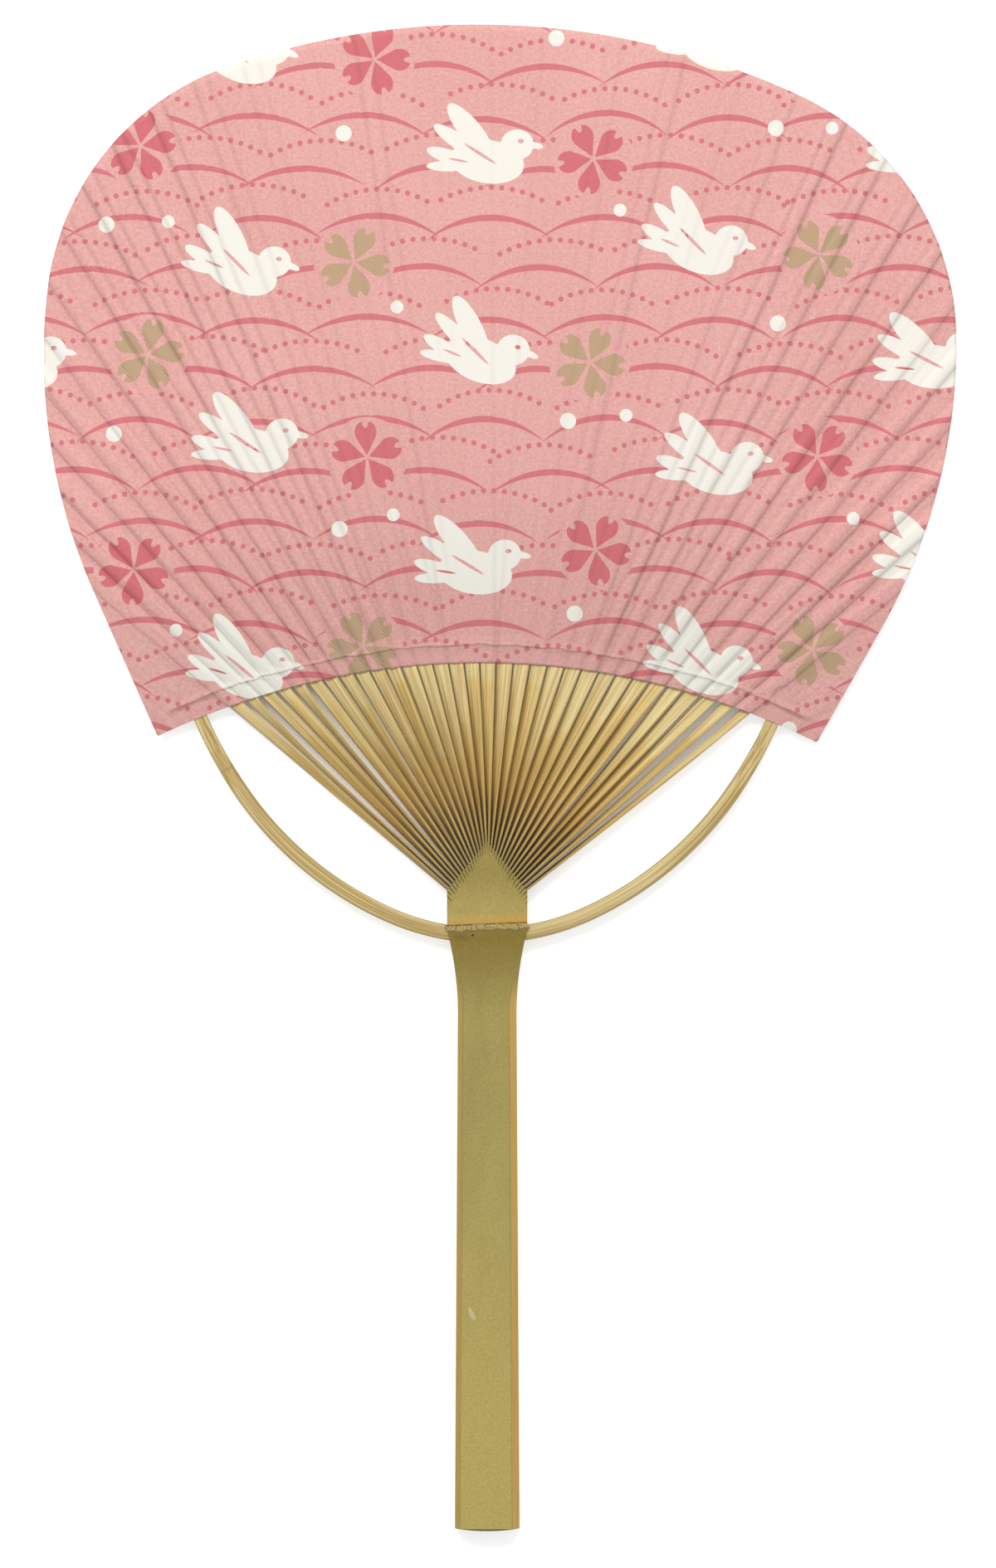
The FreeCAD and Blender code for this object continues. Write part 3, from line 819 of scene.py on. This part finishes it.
# Start across and up, half width, reach to both sides, and seed.
wave_rows = {"strokes": (0.0, 0.0, stroke_half, wave_reach, 3),
             "more_strokes": (wave_step, 0.6, stroke_half, wave_reach, 4),
             "dots": (wave_step * 0.55, -5.6, 1.0, dots_reach, 5),
             "more_dots": (wave_step * 1.55, -4.6, 1.0, dots_reach, 6)}
print_fields = {name: wave_field(flat, *values) for name, values in wave_rows.items()}

# %% Blossoms, plovers and snow dots as fields
motif_step_x = 56.0
motif_step_y = 50.0
motif_drift = 3.4
# Draws for each motif, and the rows and columns after which they come again.
motif_draws = (3, 16, 16)
blossom_radius = 8.8
blossom_margin = 3.0
rose_kind, gold_kind = 1, 2


def motif_field(flat, start_x, start_y, near, spin, kinds, seed):
    """Return each point's place in the frame of the nearest motif, and near it the motif's kind, else 0.
    Motifs stand in columns, every other column moved by half a step, each turned by a draw within the spin.
    Kinds are taken in turn along the columns and rows."""
    column = np.rint((flat[..., 0] - start_x) / motif_step_x).astype(int)
    shift = start_y + (column % 2) * motif_step_y / 2
    row = np.rint((flat[..., 1] - shift) / motif_step_y).astype(int)
    draws = np.random.default_rng(seed).uniform(-1, 1, motif_draws)
    turn, move_x, move_y = draws[:, row % motif_draws[1], column % motif_draws[2]]
    x = flat[..., 0] - start_x - column * motif_step_x - motif_drift * move_x
    y = flat[..., 1] - shift - row * motif_step_y - motif_drift * move_y
    angle = math.radians(spin) * turn
    across = x * np.cos(angle) + y * np.sin(angle)
    up = y * np.cos(angle) - x * np.sin(angle)
    kind = np.array(kinds)[(row + 2 * column) % len(kinds)]
    return np.stack([across, up, np.where(np.hypot(x, y) < near, kind, 0)], -1)


# Start across and up, how far a motif reaches, spin in degrees, kinds in turn, and seed.
motif_rows = {"plovers": (-2.0, 91.0, 19.0, 12, (1,), 21),
              "blossoms": (25.0, 92.0, blossom_radius + blossom_margin, 36, (rose_kind, gold_kind), 22),
              "snow": (19.0, 74.5, 4.6, 0, (1, 1, 0), 24),
              "fine_snow": (33.0, 76.5, 4.2, 0, (0, 1, 1), 25)}
for name, values in motif_rows.items():
    print_fields[name] = motif_field(flat, *values)

# %% [markdown]
# ## Shapes from measures
# Each cover below says how much ink lies on a point. A shape is first a depth: how far inside its edge a
# point is, in mm. Depths join by taking the larger and are cut by taking the smaller.

# %% Covers of the motifs
edge_softness = 0.07
oval_blend = 0.5
petals = 5
# An oval is its middle across and up, its half length and half width, and its turn in degrees.
# A petal's lobe, middle and notch are in shares of the blossom's radius.
petal_ovals = ((0.7, 0.1, 0.3, 0.21, 0), (0.46, 0.0, 0.42, 0.22, 0), (1.03, 0.0, 0.2, 0.09, 0))
petal_slope, petal_tip = 0.56, 0.06
petal_blend = 0.35
blossom_room = 1.14
kind_margin = 0.1
plover_ovals = ((0.0, -0.6, 9.2, 5.4, -14), (7.8, 2.9, 4.1, 3.8, 0), (12.2, 2.3, 2.1, 0.8, -18),
                (-9.6, 1.6, 5.6, 1.7, -24), (-10.2, -0.8, 5.0, 1.3, -6), (-3.4, 7.4, 8.6, 2.7, 124),
                (-6.6, 5.0, 7.4, 1.9, 141))
plover_gaps = ((8.8, 3.7, 0.75, 0.55, 0), (-1.6, 1.5, 4.6, 0.42, -38), (-7.2, 0.4, 2.4, 0.3, -16))
snow_radius, fine_snow_radius = 2.0, 1.6


def painted(add, depth, *marks):
    """Return the cover of ink from how deep in mm a point lies in a soft-edged shape, times any marks."""
    cover = add("MapRange", "SMOOTHSTEP", depth, -edge_softness, edge_softness)
    return combined(add, "MULTIPLY", [cover, *marks])


def oval_depth(add, place, oval, unit=1.0):
    """Return how deep in mm a place lies inside an oval: one less its distance in the oval's own measure."""
    x, y, half_long, half_wide, turn = oval
    inside = add("Mapping", "TEXTURE", place, (x * unit, y * unit, 0.0), (0.0, 0.0, math.radians(turn)),
                 (half_long * unit, half_wide * unit, 1.0))
    spread = add("VectorMath", "LENGTH", inside).outputs["Value"]
    return add("Math", "MULTIPLY_ADD", spread, -half_wide * unit, half_wide * unit)


def stroke_cover(add, name):
    """Return where a brush stroke covers: its half width less the distance from its middle line."""
    distance, _, half = field_parts(add, name)
    return painted(add, add("Math", "SUBTRACT", half, add("Math", "ABSOLUTE", distance)))


def dot_cover(add, name):
    """Return where a dotted line covers: round dots at an even pitch along its arc."""
    distance, along, half = field_parts(add, name)
    step = add("Math", "WRAP", along, dot_pitch / 2, -dot_pitch / 2)
    gone = add("VectorMath", "LENGTH", add("CombineXYZ", None, distance, step)).outputs["Value"]
    return painted(add, add("Math", "SUBTRACT", dot_radius, gone), add("Math", "GREATER_THAN", half, 0.0))


def blossom_cover(add, name):
    """Return the cover of rose and of gold blossoms, and the room kept clear round them. Half a petal, a
    lobe and a middle oval within a slanting side and less a notch, is folded round the blossom's middle."""
    x, y, kind = field_parts(add, name)
    angle = add("Math", "PINGPONG", add("Math", "ARCTAN2", y, x), math.pi / petals)
    spread = add("VectorMath", "LENGTH", add("CombineXYZ", None, x, y)).outputs["Value"]
    out = add("Math", "MULTIPLY", spread, add("Math", "COSINE", angle))
    aside = add("Math", "MULTIPLY", spread, add("Math", "SINE", angle))
    folded = add("CombineXYZ", None, out, aside)
    lobe, middle, notch = (oval_depth(add, folded, oval, blossom_radius) for oval in petal_ovals)
    side = add("Math", "MULTIPLY_ADD", out, petal_slope, -petal_slope * petal_tip * blossom_radius)
    petal = add("Math", "SMOOTH_MAX", lobe, middle, petal_blend)
    petal = add("Math", "SMOOTH_MIN", petal, add("Math", "SUBTRACT", side, aside), petal_blend)
    petal = add("Math", "MINIMUM", petal, add("Math", "MULTIPLY", notch, -1.0))
    rose, gold = (painted(add, petal, add("Math", "COMPARE", kind, value, kind_margin))
                  for value in (rose_kind, gold_kind))
    close = add("Math", "LESS_THAN", spread, blossom_radius * blossom_room)
    return rose, gold, add("Math", "MULTIPLY", close, add("Math", "GREATER_THAN", kind, rose_kind / 2))


def plover_cover(add, name):
    """Return a plover's cover: the union of a few ovals, less its eye and the lines by its wing and tail."""
    x, y, near = field_parts(add, name)
    place = add("CombineXYZ", None, x, y)
    depth = oval_depth(add, place, plover_ovals[0])
    for oval in plover_ovals[1:]:
        depth = add("Math", "SMOOTH_MAX", depth, oval_depth(add, place, oval), oval_blend)
    for oval in plover_gaps:
        depth = add("Math", "MINIMUM", depth, add("Math", "MULTIPLY", oval_depth(add, place, oval), -1.0))
    return painted(add, depth, near)


def snow_cover(add, name, radius):
    """Return a round snow dot's cover."""
    x, y, near = field_parts(add, name)
    spread = add("VectorMath", "LENGTH", add("CombineXYZ", None, x, y)).outputs["Value"]
    return painted(add, add("Math", "SUBTRACT", radius, spread), near)


# %% [markdown]
# ## Printed paper
# The sheet is a thin machine-made washi, printed flat in a few inks before it was pasted. Ink sinks into the
# fibres, so colour and paper share one fine mottling, and nothing shines. The gold-khaki ink is hatched.
# The sharp part of the creases and of the thread's line is too fine for the grid, so it is a bump.

# %% Washi, printed in flat inks
fibre_size, cloud_size = 0.7, 38.0
fibre_bump = 0.045
crease_bump = 0.2
crease_edge, crease_foot = 0.3, 1.1
ground_mottle = 0.32
wander_size, rib_wander = 14.0, 1.2
pleats_per_rib = 2.8
pleat_length = 45.0
pleat_bump = 0.6
waver_size, thread_waver = 5.0, 1.5
thread_line = 0.65
thread_bump = 0.22
shadow_line = 1.9
shadow_reach = 1.1
shadow_share = 0.6
shadow_full, shadow_none = 6.0, 12.0
hatch_pitch = 1.3
# Painted shade darkens the leaf from this height above the hem to full below the hem.
hem_shade_from, hem_shade_full = 75.0, -10.0


def above_hem(add, place):
    """Return the distance above the hem in mm: the distance from the hem circle's middle less its radius."""
    flat_place = add("VectorMath", "MULTIPLY", place, (1 / MM, 1 / MM, 0.0))
    spread = add("VectorMath", "DISTANCE", flat_place, (*hem_centre, 0.0)).outputs["Value"]
    return add("Math", "SUBTRACT", spread, hem_radius)


def paper_fibre(add, place):
    """Return the fine mottling of the paper's fibres."""
    return add("TexNoise", None, place, Scale=1 / (fibre_size * MM), Detail=4.0, Roughness=0.65)


def crease_parts(add, place):
    """Return the crease field's parts, with a distance from the rib's line that wanders a little."""
    distance, strength, laced = field_parts(add, "crease")
    wander = add("TexNoise", None, place, Scale=1 / (wander_size * MM), Detail=2.0)
    return add("Math", "MULTIPLY_ADD", wander, rib_wander, distance), strength, laced


def paper_height(add, place, fibre):
    """Return the paper's fine height in mm: its fibres, and the sharp part of the creases along the ribs and
    of the line over the thread."""
    distance, strength, laced = crease_parts(add, place)
    sunk = add("MapRange", "SMOOTHSTEP", distance, rib_half_width + crease_edge,
               rib_half_width + crease_foot, 0.0, -crease_bump)
    drawn_out = add("Mapping", None, add("Attribute", "run").outputs["Vector"], None, None,
                    (pleats_per_rib, 1 / pleat_length, 1.0))
    pleats = add("TexNoise", None, drawn_out, Scale=1.0, Detail=2.0)
    folds = add("Math", "MULTIPLY_ADD", pleats, pleat_bump, sunk)
    waver = add("TexNoise", None, place, Scale=1 / (waver_size * MM), Detail=2.0)
    level = add("Math", "MULTIPLY_ADD", waver, thread_waver, above_hem(add, place))
    off_thread = add("Math", "ABSOLUTE", add("Math", "SUBTRACT", level, thread_distance + thread_waver / 2))
    line = add("MapRange", "SMOOTHSTEP", off_thread, thread_line, 0.0, 0.0, thread_bump)
    height = add("Math", "MULTIPLY_ADD", laced, line, add("Math", "MULTIPLY", folds, strength))
    return add("Math", "MULTIPLY_ADD", fibre, fibre_bump, height)


def rib_shadow(add, place):
    """Return the factors of soft grey lines of painted shade along the ribs' edges. Only the
    middle of the leaf needs them: towards the sides the creases themselves give the lines."""
    distance, strength, _ = crease_parts(add, place)
    number, _, _ = field_parts(add, "run")
    off_line = add("Math", "ABSOLUTE", add("Math", "SUBTRACT", distance, shadow_line + rib_wander / 2))
    from_middle = add("Math", "ABSOLUTE", add("Math", "SUBTRACT", number, middle_rib))
    in_middle = (from_middle, shadow_none, shadow_full, 0.0, shadow_share)
    return in_middle, strength, (off_line, shadow_reach, 0.0)


def printed_paper_material():
    """Printed washi: pink ground, darker waves and dots, rose and hatched gold blossoms, paper white."""
    material, add = start_material("printed_washi")
    place = add("TexCoord").outputs["Object"]
    fibre = paper_fibre(add, place)
    cloud = add("TexNoise", None, place, Scale=1 / (cloud_size * MM), Detail=2.0)
    ground = add("MixRGB", None, cloud, "#e0a49d", "#edb4ae")
    mottle = add("MapRange", None, fibre, 0.3, 0.7)
    ground = add("MixRGB", "SOFT_LIGHT", ground_mottle, ground, mottle)
    ink_grain = add("MapRange", None, fibre, 0.25, 0.75, 0.72, 1.0)
    strokes = [stroke_cover(add, name) for name in ("strokes", "more_strokes")]
    dots = [dot_cover(add, name) for name in ("dots", "more_dots")]
    lines = combined(add, "MAXIMUM", strokes + dots)
    rose, gold, room = blossom_cover(add, "blossoms")
    clear = add("Math", "SUBTRACT", 1.0, room)
    hatch = add("TexWave", "DIAGONAL", place, Scale=1 / (hatch_pitch * MM), Distortion=1.0, Detail=1.0)
    gold_ink = add("MixRGB", None, hatch, "#b69572", "#cdb092")
    snow = [snow_cover(add, "snow", snow_radius), snow_cover(add, "fine_snow", fine_snow_radius)]
    white = combined(add, "MAXIMUM", [plover_cover(add, "plovers"), *snow])
    colour = layered(
        add, ground,
        ("#d57079", lines, clear, ink_grain),
        ("#d3676f", rose, ink_grain),
        (gold_ink, gold),
        ("#f7f2e7", white))
    # Painted shade: the leaf darkens a little towards the hem, and soft grey lines run along the ribs'
    # edges.
    colour = layered(
        add, colour,
        ("#edf0ef", (above_hem(add, place), hem_shade_from, hem_shade_full)),
        ("#b6aeae", *rib_shadow(add, place)),
        blend="MULTIPLY")
    end_material(add, colour, paper_height(add, place, fibre), depth=1.0, roughness=0.78, gloss=0.25)
    return material


def sheet_piece(name, flat, top, material, slot, node, **fields):
    """Make a paper sheet of one thickness under a top over the flat grid; both faces carry the fields."""
    faces = [np.concatenate([flat, height[..., None]], -1) for height in (top, top - paper_thickness)]
    both = {field: np.stack([values] * 2) for field, values in fields.items()}
    make_piece(name, np.stack(faces), sheet_faces(*flat.shape[:2]), material, slot, node, **both)


front_level = leaf_plane + rib_thickness / 2 + paper_thickness
sheet_piece("printed_front_paper", flat, front_level + relief, printed_paper_material(), "printed_paper",
            "front_paper", **print_fields, crease=crease, run=run)

# %% [markdown]
# ## The back paper
# The back of such a fan is commonly a plain sheet of the same paper. It is pasted the same way, so it gets
# the same kind of relief, turned over, and only the colour and the long fibres of undyed paper.

# %% Plain washi on the back
plain_cloud_size = 30.0
strand_size = 6.0


def plain_paper_material():
    """Plain washi: undyed off-white with a soft cloudiness and long fibres."""
    material, add = start_material("plain_washi")
    place = add("TexCoord").outputs["Object"]
    cloud = add("TexNoise", None, place, Scale=1 / (plain_cloud_size * MM), Detail=3.0)
    strands = add("TexNoise", None, place, Scale=1 / (strand_size * MM), Detail=1.0, Distortion=3.0)
    ground = add("MixRGB", None, cloud, "#e9dfca", "#f3ecdc")
    colour = layered(add, ground, ("#d8caa9", add("MapRange", None, strands, 0.62, 0.7, 0.0, 0.35)))
    height = paper_height(add, place, paper_fibre(add, place))
    end_material(add, colour, height, depth=1.0, roughness=0.82, gloss=0.25)
    return material


flat, number, above = leaf_grid(*back_grid)
relief, crease, run = leaf_relief(flat, number, above, back_valley, back_seed)
back_level = leaf_plane - rib_thickness / 2
sheet_piece("plain_back_paper", flat, back_level - relief, plain_paper_material(), "plain_paper",
            "back_paper", crease=crease, run=run)

# %% [markdown]
# ## The handle's shape
# The handle is one strip of the culm's wall, so its front is part of a large round and its back is flat.
# It is swept as rows along the strip: each row has the outline's width there, the round front, a planed
# strip along both front edges of the grip and a flat back. Rows crowd at the joint, where an old leaf sheath
# left a ragged, pitted scar across the front, and a low stub behind.

# %% Carry the section along the handle
butt_width, waist_width, node_width = 16.1, 14.6, 20.5
butt_to_node = 150.7
flare_length = 22.0
flare_radius = ((node_width - waist_width) ** 2 / 4 + flare_length ** 2) / (node_width - waist_width)
shoulder_step = 0.25
gable_tip_share = 0.004
butt_arch = 0.6
butt_edge = 0.06
arch_start, arch_full = -140.0, -150.0
planed_left, planed_right = 1.2, 1.75
planed_slope = 0.5
planed_start, planed_full = -9.0, -19.0
corner_round = 0.12
joint_slant = 0.0405
joint_top = 0.41
scar_width = 1.45
scar_rise = 0.26
scar_overhang, overhang_half = 0.3, 0.7
overhang_from = 9.0
# Height, rate and start of each wave in the scar's edge, and length, middle and half width of its tongues.
scar_waves = ((0.1, 1.7, 0.6), (0.07, 4.3, 2.0), (0.05, 11.0, 0.0))
scar_tongues = ((0.35, -6.3, 0.6), (0.5, 6.8, 0.7))
# Rate of the scar's pits across and along, and height and rate of the wave that bends their rows.
pit_waves = ((7.0, 3.0, 2.3), (9.0, 2.0, 5.0))
pit_depth = 0.225
scar_low_slope = 0.3
scar_top_from, scar_top_to = -0.12, 0.06
groove_depth, groove_above, groove_half = 0.16, 0.1, 0.13
swelling_rise = 0.4
swelling_low, swelling_high = -5.5, 3.5
stub_depth = 0.9
stub_middle, stub_half = -1.25, 5.75
back_round = 0.4
# Where the gable narrows, front corners and back edges round off by at most these shares of the half width.
narrow_corner, narrow_back = 0.3, 0.4
front_columns = 121
back_columns = 25
strip_steps = np.array([0.06, 0.5, 0.94, 1.0])
side_steps = np.array([0.15, 0.5, 1.0])
# First and last row of each span, and how many rows it has.
row_spans = ((-butt_to_node, -butt_to_node + butt_edge, 2), (-150, -23, 70), (-22, -5, 50), (-4.8, 4, 110),
             (4.3, eave_height, 12), (eave_height + 0.1, eave_height + gable_height, 44))


def handle_half_width(y):
    """Return half the outline's width: a straight taper, a hollow flare to the joint, shoulder and gable."""
    taper = np.interp(y, [-butt_to_node, -flare_length], [butt_width / 2, waist_width / 2])
    up = np.clip(y + flare_length, 0, flare_length)
    flare = taper + flare_radius - np.sqrt(flare_radius ** 2 - up ** 2)
    gable = shoulder_width / 2 * np.clip(1 - (y - eave_height) / gable_height, gable_tip_share, 1)
    return np.where(y < 0, flare, np.minimum(gable, node_width / 2 - np.clip(y, 0, shoulder_step)))


def scar_share(x, y):
    """Return how far a point lies on the scar, 0 to 1: a slanting band, ragged along its lower edge."""
    top = joint_top + joint_slant * x
    ragged = sum(height * np.sin(rate * x + start) for height, rate, start in scar_waves)
    tongues = sum(length * np.exp(-((x - middle) / half) ** 2) for length, middle, half in scar_tongues)
    low = top - scar_width - ragged - tongues
    upper = 1 - smooth_step(top + scar_top_from, top + scar_top_to, y)
    return smooth_step(low, low + scar_low_slope, y) * upper


def handle_front(x, y):
    """Return the height of the front: the culm's round, the swelling at the joint and the pitted scar."""
    swelling = swelling_rise * smooth_step(swelling_low, 0, y) * (1 - smooth_step(0, swelling_high, y))
    across, along = (np.sin(rate * place + height * np.sin(bend * x))
                     for place, (rate, height, bend) in zip((x, y), pit_waves))
    pitted = 1 - pit_depth + pit_depth * across * along
    above_top = y - joint_top - joint_slant * x - groove_above
    groove = groove_depth * np.exp(-(above_top / groove_half) ** 2)
    return skin_height(x) + swelling + scar_rise * scar_share(x, y) * pitted - groove


def handle_points():
    """Return the handle's points by row and place round its section, and the field of its planed strips."""
    y = np.concatenate([np.linspace(*span) for span in row_spans])[:, None]
    half = handle_half_width(y)
    at_scar = np.exp(-((y - joint_top + scar_width / 2) / overhang_half) ** 4)
    half = half + scar_overhang * at_scar * (half > overhang_from)
    planed = smooth_step(planed_start, planed_full, y)
    rest = np.minimum(corner_round, half * narrow_corner)
    left, right = (rest + (width - rest) * planed for width in (planed_left, planed_right))
    front_x = -half + left + (2 * half - left - right) * np.linspace(0, 1, front_columns)
    front_z = handle_front(front_x, y)
    right_x, right_z = half - right * (1 - strip_steps), front_z[:, -1:] - right * planed_slope * strip_steps
    left_x, left_z = -half + left * (1 - strip_steps), front_z[:, :1] - left * planed_slope * strip_steps
    back = -stub_depth * np.clip(1 - ((y - stub_middle) / stub_half) ** 2, 0, 1)
    turn = np.minimum(back_round, half * narrow_back)
    right_low, left_low = (strip[:, -1:] + (back + turn - strip[:, -1:]) * side_steps
                           for strip in (right_z, left_z))
    back_x = (half - turn) * np.linspace(1, -1, back_columns)
    flat_back = back + np.zeros_like(back_x)
    sides = np.ones_like(side_steps)
    x = np.concatenate([front_x, right_x, half * sides, back_x, -half * sides, left_x[:, ::-1]], 1)
    z = np.concatenate([front_z, right_z, right_low, flat_back, left_low[:, ::-1], left_z[:, ::-1]], 1)
    arch = butt_arch * (x / half) ** 2 * smooth_step(arch_start, arch_full, y)
    points = np.stack([x, y + arch, z], -1)
    to_edge = np.minimum(x + half - left, half - right - x)
    marks = np.stack([to_edge, np.broadcast_to(planed, x.shape), scar_share(x, y)], -1)
    return points, marks


# %% [markdown]
# ## The handle's skin
# The culm's own skin is smooth, khaki-olive and slightly waxy, with fine mottling rather than grain. Round
# the joint the colour changes in bands, so the material mixes colours by the distance from the joint line.
# The planed strips show the golden wood under the skin, with a thin dark line where the skin ends, and the
# back is the culm's split inner side: pale straw fibre, browner on the stub of the joint.

# %% Bamboo skin and its joint
joint_rise = -0.2
joint_line, joint_line_half = 0.06, 0.13
dark_spot = (-3.6, -2.3, 0.34, 0.3, 0)
# A soft dark patch below the scar, on the left.
dark_patch_below_scar = (-6.4, -2.8, 2.6, 1.1, -8)
pale_nick = (-3.9, -96.5, 1.7, 0.55, -68)
nick_ragged = 0.8
split_reach = 3.2
split_half, split_soft = 0.13, 0.06
split_lean = 0.104
split_fades, split_ends = 0.8, 1.2
split_ink = 0.8
skin_depth, skin_blur = 2.1, 0.15
wood_line_pitch, wood_line_length = 0.5, 20.0
ragged_scale, speckle_scale = 0.7, 1.9
blotch_scale = (0.16, 0.05, 0.16)
skin_mottle = 0.22
speckle_bump = 0.5
# The sloping cut end at the butt is painted on as a dark crescent: its end grain in painted shade.
butt_end_shade_from, butt_end_shade_full = 0.85 * butt_arch - butt_to_node, 0.7 * butt_arch - butt_to_node


def split_lines(add, x, y, ragged):
    """Return the factors of the splits that run on a little way into the gable, each as a thin dark line.
    They lean as the ribs do: a line's distance from the middle shrinks by a share of itself with each mm."""
    gable_slope = 2 * gable_height / shoulder_width
    pitch = shoulder_width / rib_count
    from_middle = add("Math", "ABSOLUTE", x)
    gable = add("Math", "MULTIPLY_ADD", from_middle, -gable_slope, eave_height + gable_height)
    steepness = add("Math", "MULTIPLY_ADD", from_middle, gable_slope * split_lean, 1.0)
    below_edge = add("Math", "DIVIDE", add("Math", "SUBTRACT", gable, y), steepness)
    at_edge = add("Math", "MULTIPLY", x, add("Math", "MULTIPLY_ADD", below_edge, split_lean, 1.0))
    below_edge = add("Math", "MULTIPLY_ADD", ragged, split_reach, below_edge)
    aside = add("Math", "ABSOLUTE", add("Math", "WRAP", at_edge, pitch / 2, -pitch / 2))
    return ((aside, split_half + split_soft, split_half - split_soft),
            (below_edge, split_ends * split_reach, split_fades * split_reach, 0.0, split_ink))


def handle_material():
    """Bamboo culm skin, scraped and dried: waxy khaki, pitted pale scar, orange above it and olive below."""
    material, add = start_material("bamboo_culm_skin")
    place = add("VectorMath", "SCALE", add("TexCoord").outputs["Object"], Scale=1 / MM)
    x, y, z = add("SeparateXYZ", None, place).outputs
    to_edge, planed, on_scar = field_parts(add, "marks")
    level = add("Math", "MULTIPLY_ADD", x, -joint_slant, y)
    ragged = add("TexNoise", None, place, Scale=ragged_scale, Detail=3.0)
    speckle = add("TexNoise", None, place, Scale=speckle_scale, Detail=3.0)
    lines = fibres(add, place, wood_line_pitch, wood_line_length)
    drawn_out = add("Mapping", None, place, None, None, blotch_scale)
    blotch = add("TexNoise", None, drawn_out, Scale=1.0, Detail=3.0)
    # The shoulder darkens towards the gable, and is orange over the joint, most of all on the right.
    shoulder = layered(
        add, add("MixRGB", None, blotch, "#a6924d", "#bba860"),
        ("#91803c", (y, 4.0, 14.0, 0.0, 0.7)),
        ("#c3973f", (level, 3.4, 1.0), (x, -9.0, 8.0, 0.5, 1.0)))
    # The grip is paler towards the butt and deep olive below the joint.
    colour = layered(
        add, add("MixRGB", None, blotch, "#988848", "#b2a35d"),
        ("#c0ae61", (y, -40.0, -130.0, 0.0, 0.75)),
        ("#836f25", (level, -26.0, -2.0, 0.0, 0.9)),
        (shoulder, (level, joint_rise, joint_top)))
    mottle = add("MapRange", None, speckle, 0.35, 0.65, 0.3, 0.7)
    colour = add("MixRGB", "OVERLAY", skin_mottle, colour, mottle)
    scar = layered(add, "#b29d62", ("#4f3f1d", (speckle, 0.44, 0.36, 0.0, 0.9)))
    upper_line = add("Math", "COMPARE", level, joint_top + joint_line, joint_line_half)
    flat = add("CombineXYZ", None, x, y)
    patch, spot, nick = (oval_depth(add, flat, oval) for oval in (dark_patch_below_scar, dark_spot, pale_nick))
    nick = add("Math", "MULTIPLY_ADD", ragged, nick_ragged, add("Math", "SUBTRACT", nick, nick_ragged / 2))
    wood = add("MixRGB", None, lines, "#b78e3c", "#d1b062")
    wood = layered(add, wood, ("#e4eef0", (x, 4.0, -4.0)), blend="MULTIPLY")
    split_wood = add("MixRGB", None, lines, "#bfa05a", "#dec88e")
    split_wood = layered(add, split_wood, ("#a58a55", (z, -0.15, -0.6, 0.0, 0.6)))
    # The scar and its upper line, a dark patch, spot and nick, the skin's end and the wood, splits, back and
    # the butt's end in painted shade.
    colour = layered(
        add, colour,
        (scar, on_scar),
        ("#4a3a18", upper_line, (ragged, 0.42, 0.55, 0.25, 0.9)),
        ("#6f5a22", (patch, -0.3, 0.9, 0.0, 0.55)),
        ("#43321a", painted(add, spot)),
        ("#cbbb8c", painted(add, nick)),
        ("#6d6a3c", (to_edge, 0.28, 0.05, 0.0, 0.45), planed),
        (wood, (to_edge, 0.02, -0.1), planed),
        ("#57421a", *split_lines(add, x, y, ragged)),
        (split_wood, (z, skin_depth + skin_blur, skin_depth - skin_blur)),
        ("#3c361b", (y, butt_end_shade_from, butt_end_shade_full, 0.0, 0.85)))
    height = add("Math", "MULTIPLY_ADD", speckle, speckle_bump, lines)
    end_material(add, colour, height, depth=0.05, roughness=0.42, gloss=0.4)
    return material


points, marks = handle_points()
make_piece("bamboo_handle", points, tube_faces(*points.shape[:2]), handle_material(), "bamboo_skin",
           "handle", marks=marks)
print("handle of", len(points), "rows, width at the joint in mm:", round(float(np.ptp(points[..., 0])), 2))

# %% [markdown]
# ## The lacing thread
# The thread lies between the papers and isn't seen, but it is a real piece, so it gets a cotton finish.

# %% Cotton thread
fuzz_size = 0.3


def thread_material():
    """Cotton thread, spun and undyed: off-white and matt."""
    material, add = start_material("cotton_thread_spun")
    place = add("TexCoord").outputs["Object"]
    fuzz = add("TexNoise", None, place, Scale=1 / (fuzz_size * MM), Detail=2.0)
    colour = add("MixRGB", None, fuzz, "#ddd3bd", "#f1eadb")
    end_material(add, colour, fuzz, depth=0.03, roughness=0.9, gloss=0.5)
    return material


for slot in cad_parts["lacing_thread"].material_slots:
    slot.material = thread_material()
